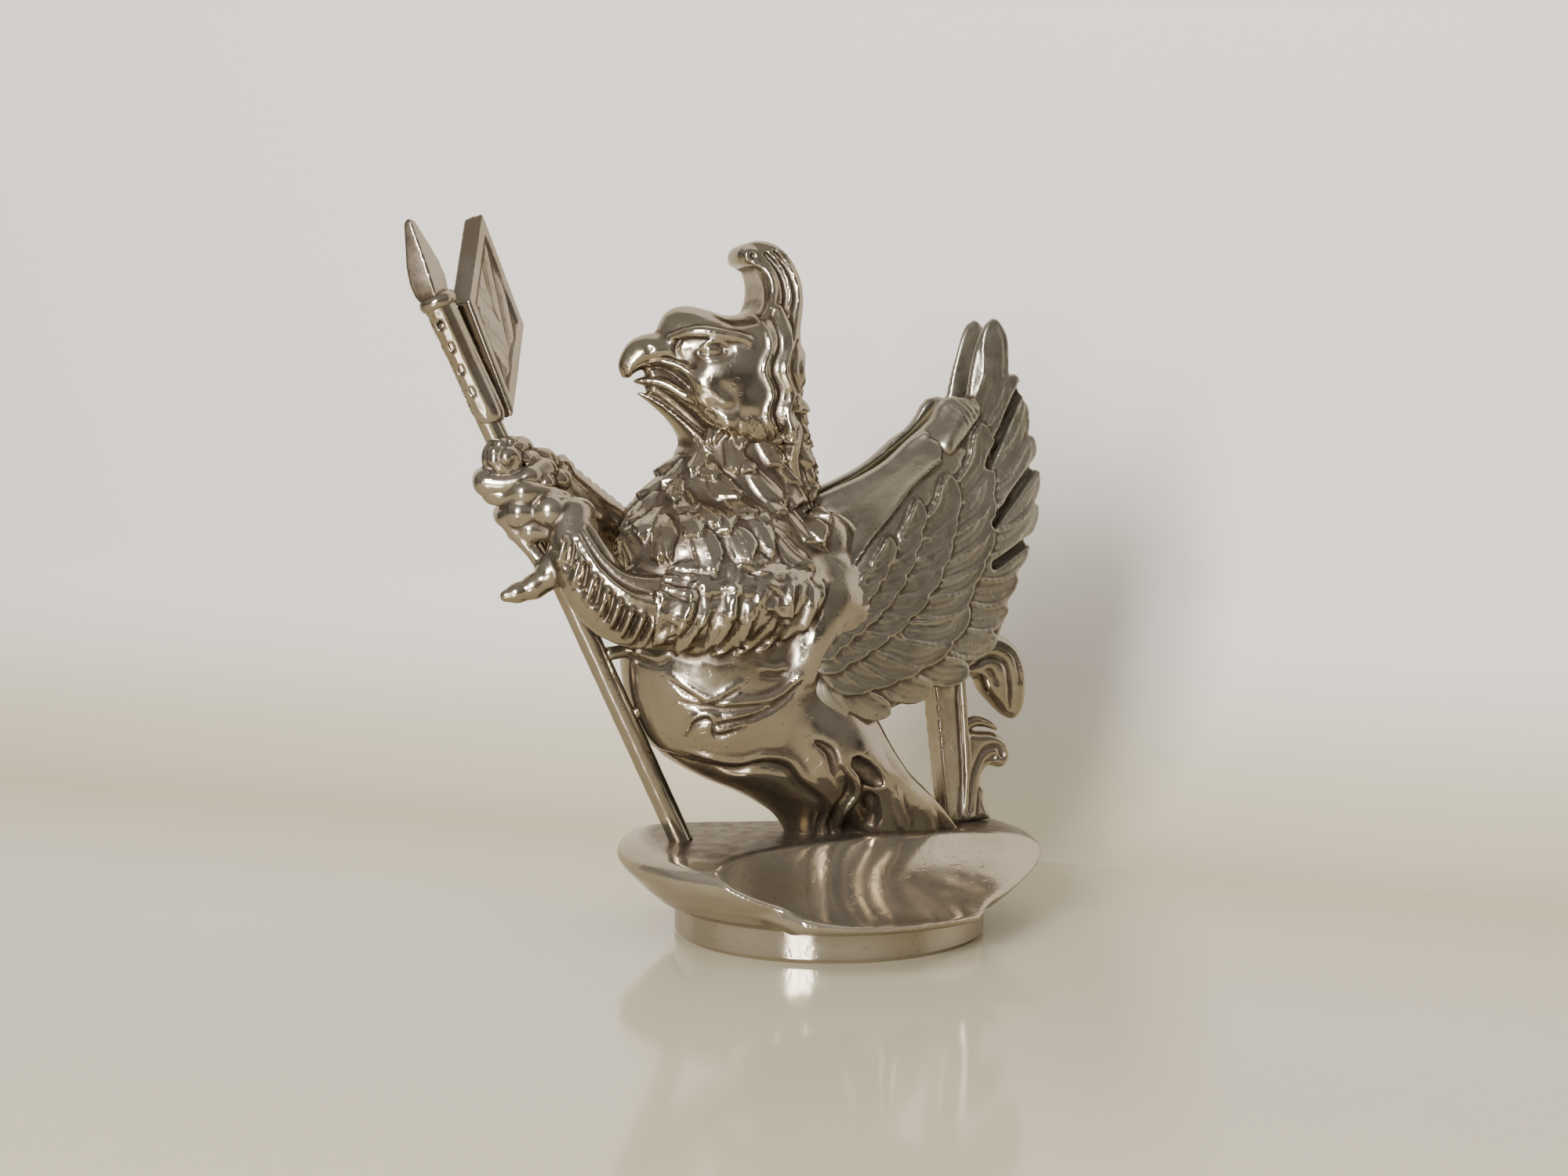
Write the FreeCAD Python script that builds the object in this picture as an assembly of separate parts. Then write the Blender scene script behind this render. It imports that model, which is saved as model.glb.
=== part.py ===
import FreeCAD, Part
import math
import os

# Car radiator-cap mascot: a crouching griffin holding a slanted staff with a plain banner, on a lens-shaped
# flange that swivels on a round screw cap.
# Frame: origin at the centre of the cap's open bottom, +Z up, the figure faces -X and its left side is -Y.

V = FreeCAD.Vector
UP = V(0, 0, 1)

# ---- driving dimensions, mm ----
SKIRT_R = 22.1            # outside of the screw cap
SKIRT_WALL = 2.5
CROWN_BOTTOM = 4.3        # roof of the threaded hollow
CROWN_TOP = 5.7
EDGE_ROUND = 0.7
CUP_R_IN = 7.0            # raised cup in the crown, which hides the clamp nut
CUP_WALL = 1.6
CUP_ROOF = 9.0
CUP_TOP = 10.4
THREAD_R = 17.2
GASKET_T = 0.6
GASKET_R_IN = 12.5

STUD_R = 3.0
STUD_BOTTOM = 4.2
STUD_TOP = 21.0
RUNNING_FIT = 0.05        # radial play of the stud in the crown
TURN_GAP = 0.15           # play between the faces that turn on each other
WASHER_R = 6.0
WASHER_T = 0.8
SPRING_R = 5.2
NUT_FLATS = 10.0
NUT_T = 2.6

FLANGE_R = 30.3
FLANGE_RIM_Z = 11.4
FLANGE_RIM_ROUND = 1.6
FLANGE_BOTTOM = 4.3
LAND_Z = 14.4             # flat land that the figure stands on
APRON_R = 29.4            # dipped edge under each grip hollow
APRON_TOP = 8.0
APRON_FROM = 21.0         # distance from the middle plane at which the apron starts
GRIP_AXIS = V(9.4, -61.7, 0)    # upright axis that a grip hollow is swept round
GRIP_RIDGE_R = 57.2       # from that axis to the ridge along the land
# the hollow's section: distance outwards from the ridge, and height
GRIP_SECTION = [(-3.0, 17.0), (0, 14.4), (4.0, 11.3), (10.0, 8.9), (17.0, 7.2), (24.2, 6.2), (37.0, 6.2)]

STAFF_R = 1.6
STAFF_FOOT = V(-22.3, 0, 14.4)
STAFF_LEAN = math.radians(24.6)
STAFF_ROOT = 5.0          # length let into the flange
STAFF_TO_COLLAR = 81.0
SLEEVE_R = 2.3
SLEEVE_START = 63.0       # distances along the staff from its foot
COLLAR_R = 2.9
COLLAR_LENGTH = 2.6
FINIAL_LENGTH = 10.4
BLADE_HALF_WIDTH = 3.3
BLADE_HALF_THICK = 1.5
TIE_R = 0.9

WING_THICK = 2.6
DOWEL_R = 1.5

staff_dir = V(-math.sin(STAFF_LEAN), 0, math.cos(STAFF_LEAN))


def staff_point(along):
    return STAFF_FOOT + staff_dir * along


# ---- helpers ----
def turned(profile):
    """A solid of revolution about Z from (radius, height) points."""
    points = [V(r, 0, z) for r, z in profile]
    face = Part.Face(Part.makePolygon(points + [points[0]]))
    return face.revolve(V(0, 0, 0), UP, 360)


def rod(start, end, radius):
    along = end - start
    return Part.makeCylinder(radius, along.Length, start, along)


def ring(r_out, r_in, bottom, top):
    body = Part.makeCylinder(r_out, top - bottom, V(0, 0, bottom), UP)
    return body.cut(Part.makeCylinder(r_in, top - bottom, V(0, 0, bottom), UP))


def ellipse(centre, half_x, half_y, normal=UP, x_dir=V(1, 0, 0)):
    """A closed ellipse whose first half-length runs along x_dir."""
    place = FreeCAD.Placement(centre, FreeCAD.Rotation(x_dir, normal.cross(x_dir), normal, "ZXY"))
    if half_x >= half_y:
        edge = Part.Ellipse(V(0, 0, 0), half_x, half_y).toShape()
    else:
        edge = Part.Ellipse(V(0, 0, 0), half_y, half_x).toShape()
        edge.rotate(V(0, 0, 0), UP, 90)
    wire = Part.Wire([edge])
    wire.Placement = place.multiply(wire.Placement)
    return wire


def ellipsoid(centre, half_x, half_y, half_z):
    stretch = FreeCAD.Matrix()
    stretch.scale(half_x, half_y, half_z)
    ball = Part.makeSphere(1.0).transformGeometry(stretch)
    ball.translate(centre)
    return ball


def limb(stations):
    """A round limb through (x, y, z, radius) stations, each section square to the run."""
    points = [V(*s[:3]) for s in stations]
    wires = []
    for i, s in enumerate(stations):
        along = points[min(i + 1, len(points) - 1)] - points[max(i - 1, 0)]
        wires.append(Part.Wire([Part.Circle(points[i], along.normalize(), s[3]).toShape()]))
    return Part.makeLoft(wires, True)


def mirrored(shape):
    return shape.mirror(V(0, 0, 0), V(0, 1, 0))


def single(shape):
    """The largest solid of a cut, without stray chips."""
    return max(shape.Solids, key=lambda s: s.Volume)


def group(shapes):
    return Part.makeCompound(shapes)


# ---- the screw cap ----
def make_cap_shell():
    cup_out = CUP_R_IN + CUP_WALL
    hole = STUD_R + RUNNING_FIT
    inner = SKIRT_R - SKIRT_WALL
    return turned([
        (inner, 0), (SKIRT_R - EDGE_ROUND, 0), (SKIRT_R, EDGE_ROUND), (SKIRT_R, CROWN_TOP),
        (cup_out, CROWN_TOP), (cup_out, CUP_TOP), (hole, CUP_TOP), (hole, CUP_ROOF),
        (CUP_R_IN, CUP_ROOF), (CUP_R_IN, CROWN_BOTTOM), (inner, CROWN_BOTTOM),
    ])


def make_thread_ring():
    return ring(SKIRT_R - SKIRT_WALL, THREAD_R, 0, CROWN_BOTTOM - GASKET_T)


def make_sealing_washer():
    return ring(SKIRT_R - SKIRT_WALL, GASKET_R_IN, CROWN_BOTTOM - GASKET_T, CROWN_BOTTOM)


# ---- the clamp under the crown ----
washer_top = CUP_ROOF - TURN_GAP
spring_top = washer_top - WASHER_T
nut_top = spring_top - WASHER_T


def make_mounting_stud():
    return Part.makeCylinder(STUD_R, STUD_TOP - STUD_BOTTOM, V(0, 0, STUD_BOTTOM), UP)


def make_plain_washer():
    return ring(WASHER_R, STUD_R, spring_top, washer_top)


def make_spring_washer():
    slit = Part.makeBox(SPRING_R, 0.8, WASHER_T, V(0, -0.4, nut_top))
    return ring(SPRING_R, STUD_R, nut_top, spring_top).cut(slit)


def make_clamp_nut():
    corner = NUT_FLATS / 2 / math.cos(math.pi / 6)
    bottom = nut_top - NUT_T
    points = [V(corner * math.cos(k * math.pi / 3), corner * math.sin(k * math.pi / 3), bottom) for k in range(7)]
    hexagon = Part.Face(Part.makePolygon(points)).extrude(V(0, 0, NUT_T))
    return hexagon.cut(Part.makeCylinder(STUD_R, NUT_T, V(0, 0, bottom), UP))


# ---- the lens-shaped flange ----
def grip_cutter():
    """The curved hollow that a hand turns the cap by, on the figure's left."""
    section = [(GRIP_RIDGE_R - out, z) for out, z in GRIP_SECTION]
    clear_top = 2 * LAND_Z
    cutter = turned(section + [(section[-1][0], clear_top), (section[0][0], clear_top)])
    cutter.translate(GRIP_AXIS)
    return cutter


def make_apron():
    """The dipped edge below a grip hollow, on the figure's left."""
    disc = turned([(0, FLANGE_BOTTOM), (23.5, FLANGE_BOTTOM), (APRON_R - 0.6, APRON_TOP - 2.7),
                   (APRON_R, APRON_TOP - 1.7), (APRON_R, APRON_TOP), (0, APRON_TOP)])
    side = Part.makeBox(2 * APRON_R, APRON_R, LAND_Z, V(-APRON_R, -APRON_FROM - APRON_R, 0))
    return disc.common(side)


def make_base_flange(solids_below):
    round_r = FLANGE_RIM_ROUND
    middle = FLANGE_R - round_r
    diagonal = round_r * math.sqrt(0.5)
    lens = turned([
        (0, FLANGE_BOTTOM), (SKIRT_R + 0.9, FLANGE_BOTTOM), (27.0, 7.8), (middle, FLANGE_RIM_Z - round_r),
        (middle + diagonal, FLANGE_RIM_Z - diagonal), (FLANGE_R, FLANGE_RIM_Z),
        (middle + diagonal, FLANGE_RIM_Z + diagonal), (25.0, LAND_Z - 0.7), (20.0, LAND_Z), (0, LAND_Z),
    ])
    apron = make_apron()
    body = lens.fuse(apron).fuse(mirrored(apron))
    body = body.cut(grip_cutter()).cut(mirrored(grip_cutter()))
    recess = Part.makeCylinder(SKIRT_R + TURN_GAP, CROWN_TOP + TURN_GAP, V(0, 0, 0), UP)
    cup_room = Part.makeCylinder(CUP_R_IN + CUP_WALL + TURN_GAP, CUP_TOP + TURN_GAP, V(0, 0, 0), UP)
    body = body.cut(recess).cut(cup_room)
    for solid in solids_below:
        body = body.cut(solid)
    return single(body)


# ---- the figure ----
def make_torso():
    """Haunches, belly, chest and neck, from (height, front x, back x, half width) sections."""
    sections = [
        (LAND_Z, -4.5, 17.6, 7.0), (17.5, -6.0, 14.8, 8.0), (20.3, -11.0, 12.0, 9.2), (23.5, -19.5, 9.2, 10.6),
        (27.0, -24.8, 6.2, 12.0), (31.5, -27.4, 3.4, 13.0), (37.0, -29.4, 3.2, 13.5), (43.0, -30.0, 4.0, 13.5),
        (50.0, -30.4, 3.6, 13.2), (56.0, -30.6, 0.6, 12.4), (60.5, -28.8, -2.2, 11.2), (64.5, -25.4, -3.2, 9.6),
        (70.0, -21.0, -3.9, 7.8),
    ]
    wires = [ellipse(V((front + back) / 2, 0, z), (back - front) / 2, half, UP) for z, front, back, half in sections]
    return Part.makeLoft(wires, True)


def make_head(torso_top):
    """Skull, hooked upper beak and lower jaw, resting on the neck."""
    skull = ellipsoid(V(-13.6, 0, 79.0), 9.2, 8.4, 8.8)
    neck = Part.makeLoft([
        ellipse(V(-12.45, 0, torso_top), 8.55, 7.8, UP), ellipse(V(-13.2, 0, 74.0), 7.8, 7.6, UP),
        ellipse(V(-13.4, 0, 79.0), 8.4, 7.6, UP)], True)
    forward = V(-1, 0, 0)
    sideways = V(0, 1, 0)
    upper = Part.makeLoft([
        ellipse(V(-14.0, 0, 82.0), 6.6, 5.9, forward, sideways), ellipse(V(-20.5, 0, 82.6), 5.6, 5.2, forward, sideways),
        ellipse(V(-25.5, 0, 82.2), 3.4, 3.6, forward, sideways), ellipse(V(-29.0, 0, 80.7), 1.7, 2.0, forward, sideways),
        ellipse(V(-30.3, 0, 79.2), 0.7, 0.7, forward, sideways)], True)
    lower = Part.makeLoft([
        ellipse(V(-15.0, 0, 73.8), 4.8, 3.0, forward, sideways), ellipse(V(-21.0, 0, 73.4), 3.6, 2.6, forward, sideways),
        ellipse(V(-26.0, 0, 75.2), 1.9, 1.2, forward, sideways), ellipse(V(-28.6, 0, 76.4), 0.8, 0.5, forward, sideways)],
        True)
    head = skull.fuse(neck).fuse(upper).fuse(lower)
    below = Part.makeBox(60, 40, 20, V(-45, -20, torso_top - 20))
    return single(head.cut(below))


def make_crest(head):
    """Forward-curling crest on the skull."""
    crest = Part.makeLoft([
        ellipse(V(-9.3, 0, 80.0), 4.0, 4.6, V(0, 0, 1)), ellipse(V(-9.7, 0, 85.5), 4.6, 5.0, V(0.05, 0, 1)),
        ellipse(V(-9.2, 0, 90.2), 3.9, 4.2, V(-0.1, 0, 1).normalize(), V(1, 0, 0.1).normalize()),
        ellipse(V(-10.3, 0, 93.6), 3.2, 3.4, V(-0.6, 0, 0.8), V(0.8, 0, 0.6)),
        ellipse(V(-12.9, 0, 95.2), 1.9, 2.6, V(-1, 0, 0), V(0, 0, 1)),
        ellipse(V(-14.7, 0, 94.9), 1.0, 1.6, V(-1, 0, -0.2).normalize(), V(-0.2, 0, 1).normalize())], True)
    return single(crest.cut(head))


def make_left_wing(torso):
    """A bent plate, from horizontal strips: height, then (x, y) of the inner edge, ridge, middle and rear edge."""
    strips = [
        (31.0, (-2.0, -12.6), (-1.0, -13.4), (1.6, -13.2), (4.2, -12.6)),
        (36.0, (-6.0, -12.4), (-4.8, -14.3), (5.0, -13.0), (14.5, -10.8)),
        (41.0, (-7.2, -11.4), (-7.2, -14.4), (9.0, -12.4), (22.6, -9.2)),
        (48.0, (-4.4, -10.6), (-3.0, -13.8), (11.0, -11.6), (24.0, -8.4)),
        (54.7, (-3.6, -8.0), (1.2, -12.6), (15.0, -10.2), (28.9, -7.0)),
        (60.5, (-3.4, -4.8), (5.8, -10.8), (18.0, -8.8), (30.7, -6.0)),
        (65.0, (5.2, -4.4), (10.2, -9.0), (20.0, -7.2), (31.0, -5.4)),
        (70.5, (13.2, -4.2), (15.0, -6.6), (22.0, -6.0), (30.2, -4.9)),
        (76.0, (18.0, -4.2), (18.8, -4.8), (23.0, -4.9), (28.0, -4.6)),
        (82.0, (21.0, -4.0), (21.6, -4.4), (24.0, -4.5), (26.8, -4.3)),
        (87.3, (22.4, -3.9), (22.7, -4.1), (23.4, -4.1), (24.2, -4.0)),
    ]
    wires = []
    for z, *outer in strips:
        face = [V(x, y, z) for x, y in outer]
        back = [V(x + 0.3, y + WING_THICK, z) for x, y in outer]
        wires.append(Part.makePolygon(face + back[::-1] + [face[0]]))
    plate = Part.makeLoft(wires, True, True)
    return single(plate.cut(torso))


def make_left_foreleg(torso, staff):
    """Upper arm on the flank, forearm, and the claw low on the staff."""
    arm = limb([(-9.6, -11.5, 47.6, 4.8), (-17.5, -12.2, 50.5, 6.2), (-26.5, -10.6, 50.2, 4.8),
                (-33.0, -8.0, 51.6, 3.6), (-38.2, -5.4, 55.0, 3.3), (-41.5, -2.6, 58.4, 3.4)])
    claw = ellipsoid(V(-42.6, -0.6, 58.5), 5.6, 5.0, 4.0)
    spur = limb([(-38.6, -5.4, 54.6, 2.2), (-41.0, -6.0, 51.6, 2.0), (-44.0, -5.8, 49.8, 1.7), (-46.8, -5.2, 49.2, 0.9)])
    return single(arm.fuse(claw).fuse(spur).cut(torso).cut(staff))


def make_right_foreleg(torso, staff):
    """Mirror-side arm, whose claw grips higher on the staff."""
    arm = limb([(-9.6, 11.5, 47.8, 4.7), (-17.5, 12.2, 51.3, 5.9), (-25.5, 10.8, 54.6, 4.8),
                (-32.0, 8.0, 59.0, 3.7), (-39.0, 5.0, 63.6, 3.2), (-43.0, 2.6, 66.1, 3.1)])
    claw = ellipsoid(V(-46.2, 0.3, 67.25), 5.3, 5.1, 4.3)
    return single(arm.fuse(claw).cut(torso).cut(staff))


def make_tail():
    """Strut behind the haunches with a leafy tuft at its foot and a drooping tassel on top."""
    strut = limb([(19.4, 0, LAND_Z, 2.8), (18.7, 0, 20.0, 2.4), (17.8, 0, 28.0, 2.3), (18.4, 0, 35.0, 2.2),
                  (21.6, 0, 39.6, 2.2), (26.6, 0, 39.4, 2.6), (29.4, 0, 35.0, 2.2), (29.4, 0, 29.4, 0.9)])
    tuft = limb([(20.5, 0, 15.6, 1.8), (23.6, 0, 17.5, 1.8), (26.4, 0, 22.0, 2.2), (24.6, 0, 26.0, 1.7),
                 (20.5, 0, 27.4, 1.2)])
    return single(strut.fuse(tuft))


# ---- the staff and what it carries ----
def make_staff():
    return rod(staff_point(-STAFF_ROOT), staff_point(STAFF_TO_COLLAR), STAFF_R)


def make_banner(staff):
    """A sleeve on the staff with a thick plain plate that flies up and away to the figure's right."""
    sleeve = rod(staff_point(SLEEVE_START), staff_point(STAFF_TO_COLLAR - COLLAR_LENGTH), SLEEVE_R)
    hoist_top = V(-51.2, 0.9, 88.0)
    hoist_low = V(-45.6, 0.9, 72.6)
    fly = V(3.9, 10.2, 12.6)
    corners = [hoist_top, hoist_low, hoist_low + fly, hoist_top + fly, hoist_top]
    plate = Part.Face(Part.makePolygon(corners)).extrude(V(-3.2, 0, 0.3))
    return single(sleeve.fuse(plate).cut(staff))


def make_collar(staff):
    middle = staff_point(STAFF_TO_COLLAR - COLLAR_LENGTH / 2)
    half = COLLAR_LENGTH / 2
    ends = [(-half, COLLAR_R * 0.75), (0, COLLAR_R), (half, COLLAR_R * 0.75)]
    wires = [Part.Wire([Part.Circle(middle + staff_dir * s, staff_dir, r).toShape()]) for s, r in ends]
    return Part.makeLoft(wires, True, True).cut(staff)


def make_finial():
    """Leaf-shaped spear point with a diamond section."""
    wide = V(math.cos(STAFF_LEAN), 0, math.sin(STAFF_LEAN))
    wide = (wide * 0.94 + V(0, 0.34, 0)).normalize()
    thick = staff_dir.cross(wide).normalize()
    wires = []
    for along, width, depth in ((0, 0.45, 0.9), (0.16, 0.9, 1.0), (0.3, 1.0, 1.0), (0.7, 0.55, 0.7), (1.0, 0.12, 0.2)):
        middle = staff_point(STAFF_TO_COLLAR + along * FINIAL_LENGTH)
        a = wide * BLADE_HALF_WIDTH * width
        b = thick * BLADE_HALF_THICK * depth
        wires.append(Part.makePolygon([middle + a, middle + b, middle - a, middle - b, middle + a]))
    return Part.makeLoft(wires, True, True)


def make_staff_ties(staff, torso):
    """Two short pins that tie the staff to the belly."""
    pins = []
    for height in (39.4, 31.0):
        along = (height - STAFF_FOOT.z) / math.cos(STAFF_LEAN)
        start = staff_point(along)
        pins.append(single(rod(start, start + V(6.0, 0, 0), TIE_R).cut(staff)))
    return pins


# ---- hidden fixings ----
def figure_screws():
    bottom = CROWN_TOP + TURN_GAP + 0.3
    return [rod(V(11.0, y, bottom), V(11.0, y, 18.0), DOWEL_R) for y in (-3.0, 3.0)]


def locating_pin():
    return rod(V(6.0, 0, CUP_TOP + TURN_GAP + 0.4), V(6.0, 0, 18.0), DOWEL_R)


def tail_screw():
    return rod(V(19.2, 0, CROWN_TOP + TURN_GAP + 0.3), V(19.2, 0, 21.0), DOWEL_R * 0.8)


def neck_dowel():
    return rod(V(-13.0, 0, 63.0), V(-13.0, 0, 77.0), DOWEL_R * 1.4)


def crest_pin():
    return rod(V(-10.0, 0, 82.0), V(-9.4, 0, 91.0), DOWEL_R * 0.7)


def wing_pins(side):
    return [rod(V(x, side * 7.5, z), V(x, side * 12.4, z), DOWEL_R * 0.8) for x, z in ((-3.4, 41.5), (-0.6, 46.5))]


def foreleg_dowel(side):
    return rod(V(-17.0, side * 6.0, 49.5), V(-17.0, side * 14.0, 50.5), DOWEL_R)


def minus(shape, tools):
    for tool in tools:
        shape = shape.cut(tool)
    return single(shape)


def main():
    nodes = {
        "cap_shell": make_cap_shell(),
        "thread_ring": make_thread_ring(),
        "sealing_washer": make_sealing_washer(),
        "mounting_stud": make_mounting_stud(),
        "plain_washer": make_plain_washer(),
        "spring_washer": make_spring_washer(),
        "clamp_nut": make_clamp_nut(),
    }
    stud = nodes["mounting_stud"]
    screws = figure_screws()
    pin = locating_pin()
    tail_fix = tail_screw()
    staff = make_staff()
    flange = make_base_flange([stud, pin, tail_fix, staff] + screws)
    torso = make_torso().cut(make_base_flange([]))
    ties = make_staff_ties(staff, torso)
    neck = neck_dowel()
    crest_fix = crest_pin()
    left_pins = wing_pins(-1)
    right_pins = wing_pins(1)
    left_dowel = foreleg_dowel(-1)
    right_dowel = foreleg_dowel(1)
    head = make_head(70.0)
    left_wing = make_left_wing(torso)
    left_leg = make_left_foreleg(torso, staff)
    right_leg = make_right_foreleg(torso, staff)
    banner = make_banner(staff)
    nodes.update({
        "base_flange": flange,
        "torso": minus(torso, [stud, pin, neck, left_dowel, right_dowel] + screws + ties + left_pins + right_pins),
        "head": minus(head, [neck, crest_fix]),
        "crest": minus(make_crest(head), [crest_fix]),
        "left_wing": minus(left_wing, left_pins),
        "right_wing": minus(mirrored(left_wing), right_pins),
        "left_foreleg": minus(left_leg, [left_dowel]),
        "right_foreleg": minus(right_leg, [right_dowel]),
        "tail": minus(make_tail().cut(flange), [tail_fix]),
        "staff": staff,
        "banner": banner,
        "collar": single(make_collar(staff).cut(banner)),
        "finial": make_finial(),
        "staff_ties": group(ties),
        "figure_screws": group(screws),
        "locating_pin": pin,
        "tail_screw": tail_fix,
        "neck_dowel": neck,
        "crest_pin": crest_fix,
        "wing_pins": group(left_pins + right_pins),
        "foreleg_dowels": group([left_dowel, right_dowel]),
    })
    os.makedirs("parts", exist_ok=True)
    for name, shape in nodes.items():
        box = shape.BoundBox
        print("%-16s solids %d valid %s volume %.1f  x %.1f..%.1f y %.1f..%.1f z %.1f..%.1f" % (
            name, len(shape.Solids), shape.isValid(), shape.Volume,
            box.XMin, box.XMax, box.YMin, box.YMax, box.ZMin, box.ZMax))
        shape.exportStep("parts/" + name + ".step")


main()
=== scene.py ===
import bpy
import math
import numpy as np
import openvdb
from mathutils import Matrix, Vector


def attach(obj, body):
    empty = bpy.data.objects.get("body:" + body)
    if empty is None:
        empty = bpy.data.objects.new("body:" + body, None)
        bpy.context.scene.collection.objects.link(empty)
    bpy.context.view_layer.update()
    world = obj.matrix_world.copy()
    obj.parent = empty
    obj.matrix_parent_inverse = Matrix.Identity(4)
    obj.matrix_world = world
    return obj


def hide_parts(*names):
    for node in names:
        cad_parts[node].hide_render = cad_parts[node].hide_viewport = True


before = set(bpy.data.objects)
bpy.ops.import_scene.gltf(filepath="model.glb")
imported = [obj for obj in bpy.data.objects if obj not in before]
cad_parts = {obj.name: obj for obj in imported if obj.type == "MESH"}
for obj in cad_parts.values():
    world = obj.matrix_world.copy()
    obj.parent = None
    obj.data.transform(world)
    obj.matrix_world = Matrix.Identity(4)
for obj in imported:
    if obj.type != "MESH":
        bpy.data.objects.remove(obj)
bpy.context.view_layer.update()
RNG = np.random.default_rng(7)
MM = 0.001  # the script works in millimetres, Blender in metres
DEG = math.pi / 180
SIDES = (-1, 1)
FAR = 6.0  # the greatest distance that a field keeps


# -------------------- distance fields, in millimetres
def smooth_min(a, b, k):
    """The lesser of a and b, rounded off by k where they meet."""
    h = np.clip(0.5 + 0.5 * (b - a) / k, 0, 1)
    return b * (1 - h) + a * h - k * h * (1 - h)


class Field:
    """A distance field on a regular grid round one piece. Distances are negative inside."""

    def __init__(self, low, high, step):
        self.low = np.array(low, float)
        self.step = step
        count = np.ceil((np.array(high, float) - self.low) / step).astype(int) + 1
        self.axes = [self.low[i] + step * np.arange(count[i]) for i in range(3)]
        self.f = np.full(count, FAR, np.float32)

    def grid(self):
        """The coordinates of the whole field, shaped to broadcast."""
        x, y, z = self.axes
        return x[:, None, None], y[None, :, None], z[None, None, :]

    def join(self, low, high, distance, k, carve=False):
        """Adds a form that lies between low and high, or with carve takes it away, rounded off by k."""
        cuts = tuple(slice(*np.searchsorted(axis, (a, b))) for axis, a, b in zip(self.axes, low, high))
        if min(s.stop - s.start for s in cuts) <= 0:
            return
        x, y, z = (axis[c] for axis, c in zip(self.axes, cuts))
        sign = -1 if carve else 1
        there = distance(x[:, None, None], y[None, :, None], z[None, None, :])
        self.f[cuts] = sign * smooth_min(sign * self.f[cuts], there, k)

    def blend(self, there, k, carve=False):
        """Adds a form whose distances are given over the whole field, or with carve takes it away."""
        sign = -1 if carve else 1
        self.f[:] = sign * smooth_min(sign * self.f, there.astype(np.float32), k)

    def ball(self, centre, radii, k=0.5, tilt=0.0, turn=0.0, carve=False):
        """An ellipsoid, tilted about Y and then turned about Z, in degrees."""
        c, r = np.array(centre, float), np.array(radii, float) * np.ones(3)
        ct, st = math.cos(tilt * DEG), math.sin(tilt * DEG)
        cz, sz = math.cos(turn * DEG), math.sin(turn * DEG)

        def distance(x, y, z):
            dx, dy, dz = x - c[0], y - c[1], z - c[2]
            ux, uy = cz * dx + sz * dy, -sz * dx + cz * dy
            vx, vz = ct * ux + st * dz, -st * ux + ct * dz
            q = np.sqrt((vx / r[0]) ** 2 + (uy / r[1]) ** 2 + (vz / r[2]) ** 2)
            g = np.sqrt((vx / r[0] ** 2) ** 2 + (uy / r[1] ** 2) ** 2 + (vz / r[2] ** 2) ** 2)
            return q * (q - 1) / np.maximum(g, 1e-6)

        margin = r.max() + k + 1.5
        self.join(c - margin, c + margin, distance, k, carve)

    def tube(self, points, k=0.5, fine=4, carve=False, side=1):
        """A smooth round limb through (x, y, z, radius) points, mirrored in y where side is -1."""
        p = smooth_path(points, fine)
        p[:, 1] *= side
        low, high = (p[:, :3] - p[:, 3:]).min(0), (p[:, :3] + p[:, 3:]).max(0)

        def distance(x, y, z):
            best = None
            for a, b in zip(p[:-1], p[1:]):
                ab = b[:3] - a[:3]
                t = ((x - a[0]) * ab[0] + (y - a[1]) * ab[1] + (z - a[2]) * ab[2]) / max(ab @ ab, 1e-9)
                t = np.clip(t, 0, 1)
                d = np.sqrt((x - a[0] - t * ab[0]) ** 2 + (y - a[1] - t * ab[1]) ** 2
                            + (z - a[2] - t * ab[2]) ** 2) - (a[3] + t * (b[3] - a[3]))
                best = d if best is None else np.minimum(best, d)
            return best

        margin = k + 1.5
        self.join(low - margin, high + margin, distance, k, carve)

    def mesh(self):
        grid = openvdb.FloatGrid(FAR)
        grid.copyFromArray(np.clip(self.f, -FAR, FAR).astype(np.float32))
        points, quads = grid.convertToQuads(0.0)[:2]
        return without_crumbs(self.low + points.astype(float) * self.step, quads.astype(np.int64))


def without_crumbs(p, quads, least=60):
    """Drops the separate shells that have fewer vertices than least."""
    label = np.arange(len(p))
    while True:
        lower = label.copy()
        np.minimum.at(lower, quads.ravel(), np.repeat(label[quads].min(1), 4))
        lower = lower[lower]
        if (lower == label).all():
            break
        label = lower
    keep = np.bincount(label, minlength=len(p))[label] >= least
    place = np.cumsum(keep) - 1
    return p[keep], place[quads[keep[quads[:, 0]]]]


def smooth_path(points, fine):
    """A Catmull-Rom line through the points, with every column carried along."""
    p = np.array(points, float)
    if len(p) < 3 or fine < 2:
        return p
    q = np.vstack([2 * p[0] - p[1], p, 2 * p[-1] - p[-2]])
    out = []
    for i in range(1, len(q) - 2):
        for t in np.arange(fine) / fine:
            out.append(0.5 * (2 * q[i] + (q[i + 1] - q[i - 1]) * t
                              + (2 * q[i - 1] - 5 * q[i] + 4 * q[i + 1] - q[i + 2]) * t * t
                              + (3 * q[i] - q[i - 1] - 3 * q[i + 1] + q[i + 2]) * t ** 3))
    out.append(p[-1])
    return np.array(out)


def to_segment(x, z, a, b, low=0.0):
    """In the XZ plane, the place along ab (0 to 1) nearest to each (x, z), and the offset from there."""
    e = np.subtract(b, a)
    t = np.clip(((x - a[0]) * e[0] + (z - a[1]) * e[1]) / max(e @ e, 1e-9), low, 1)
    return t, x - a[0] - t * e[0], z - a[1] - t * e[1]


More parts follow.
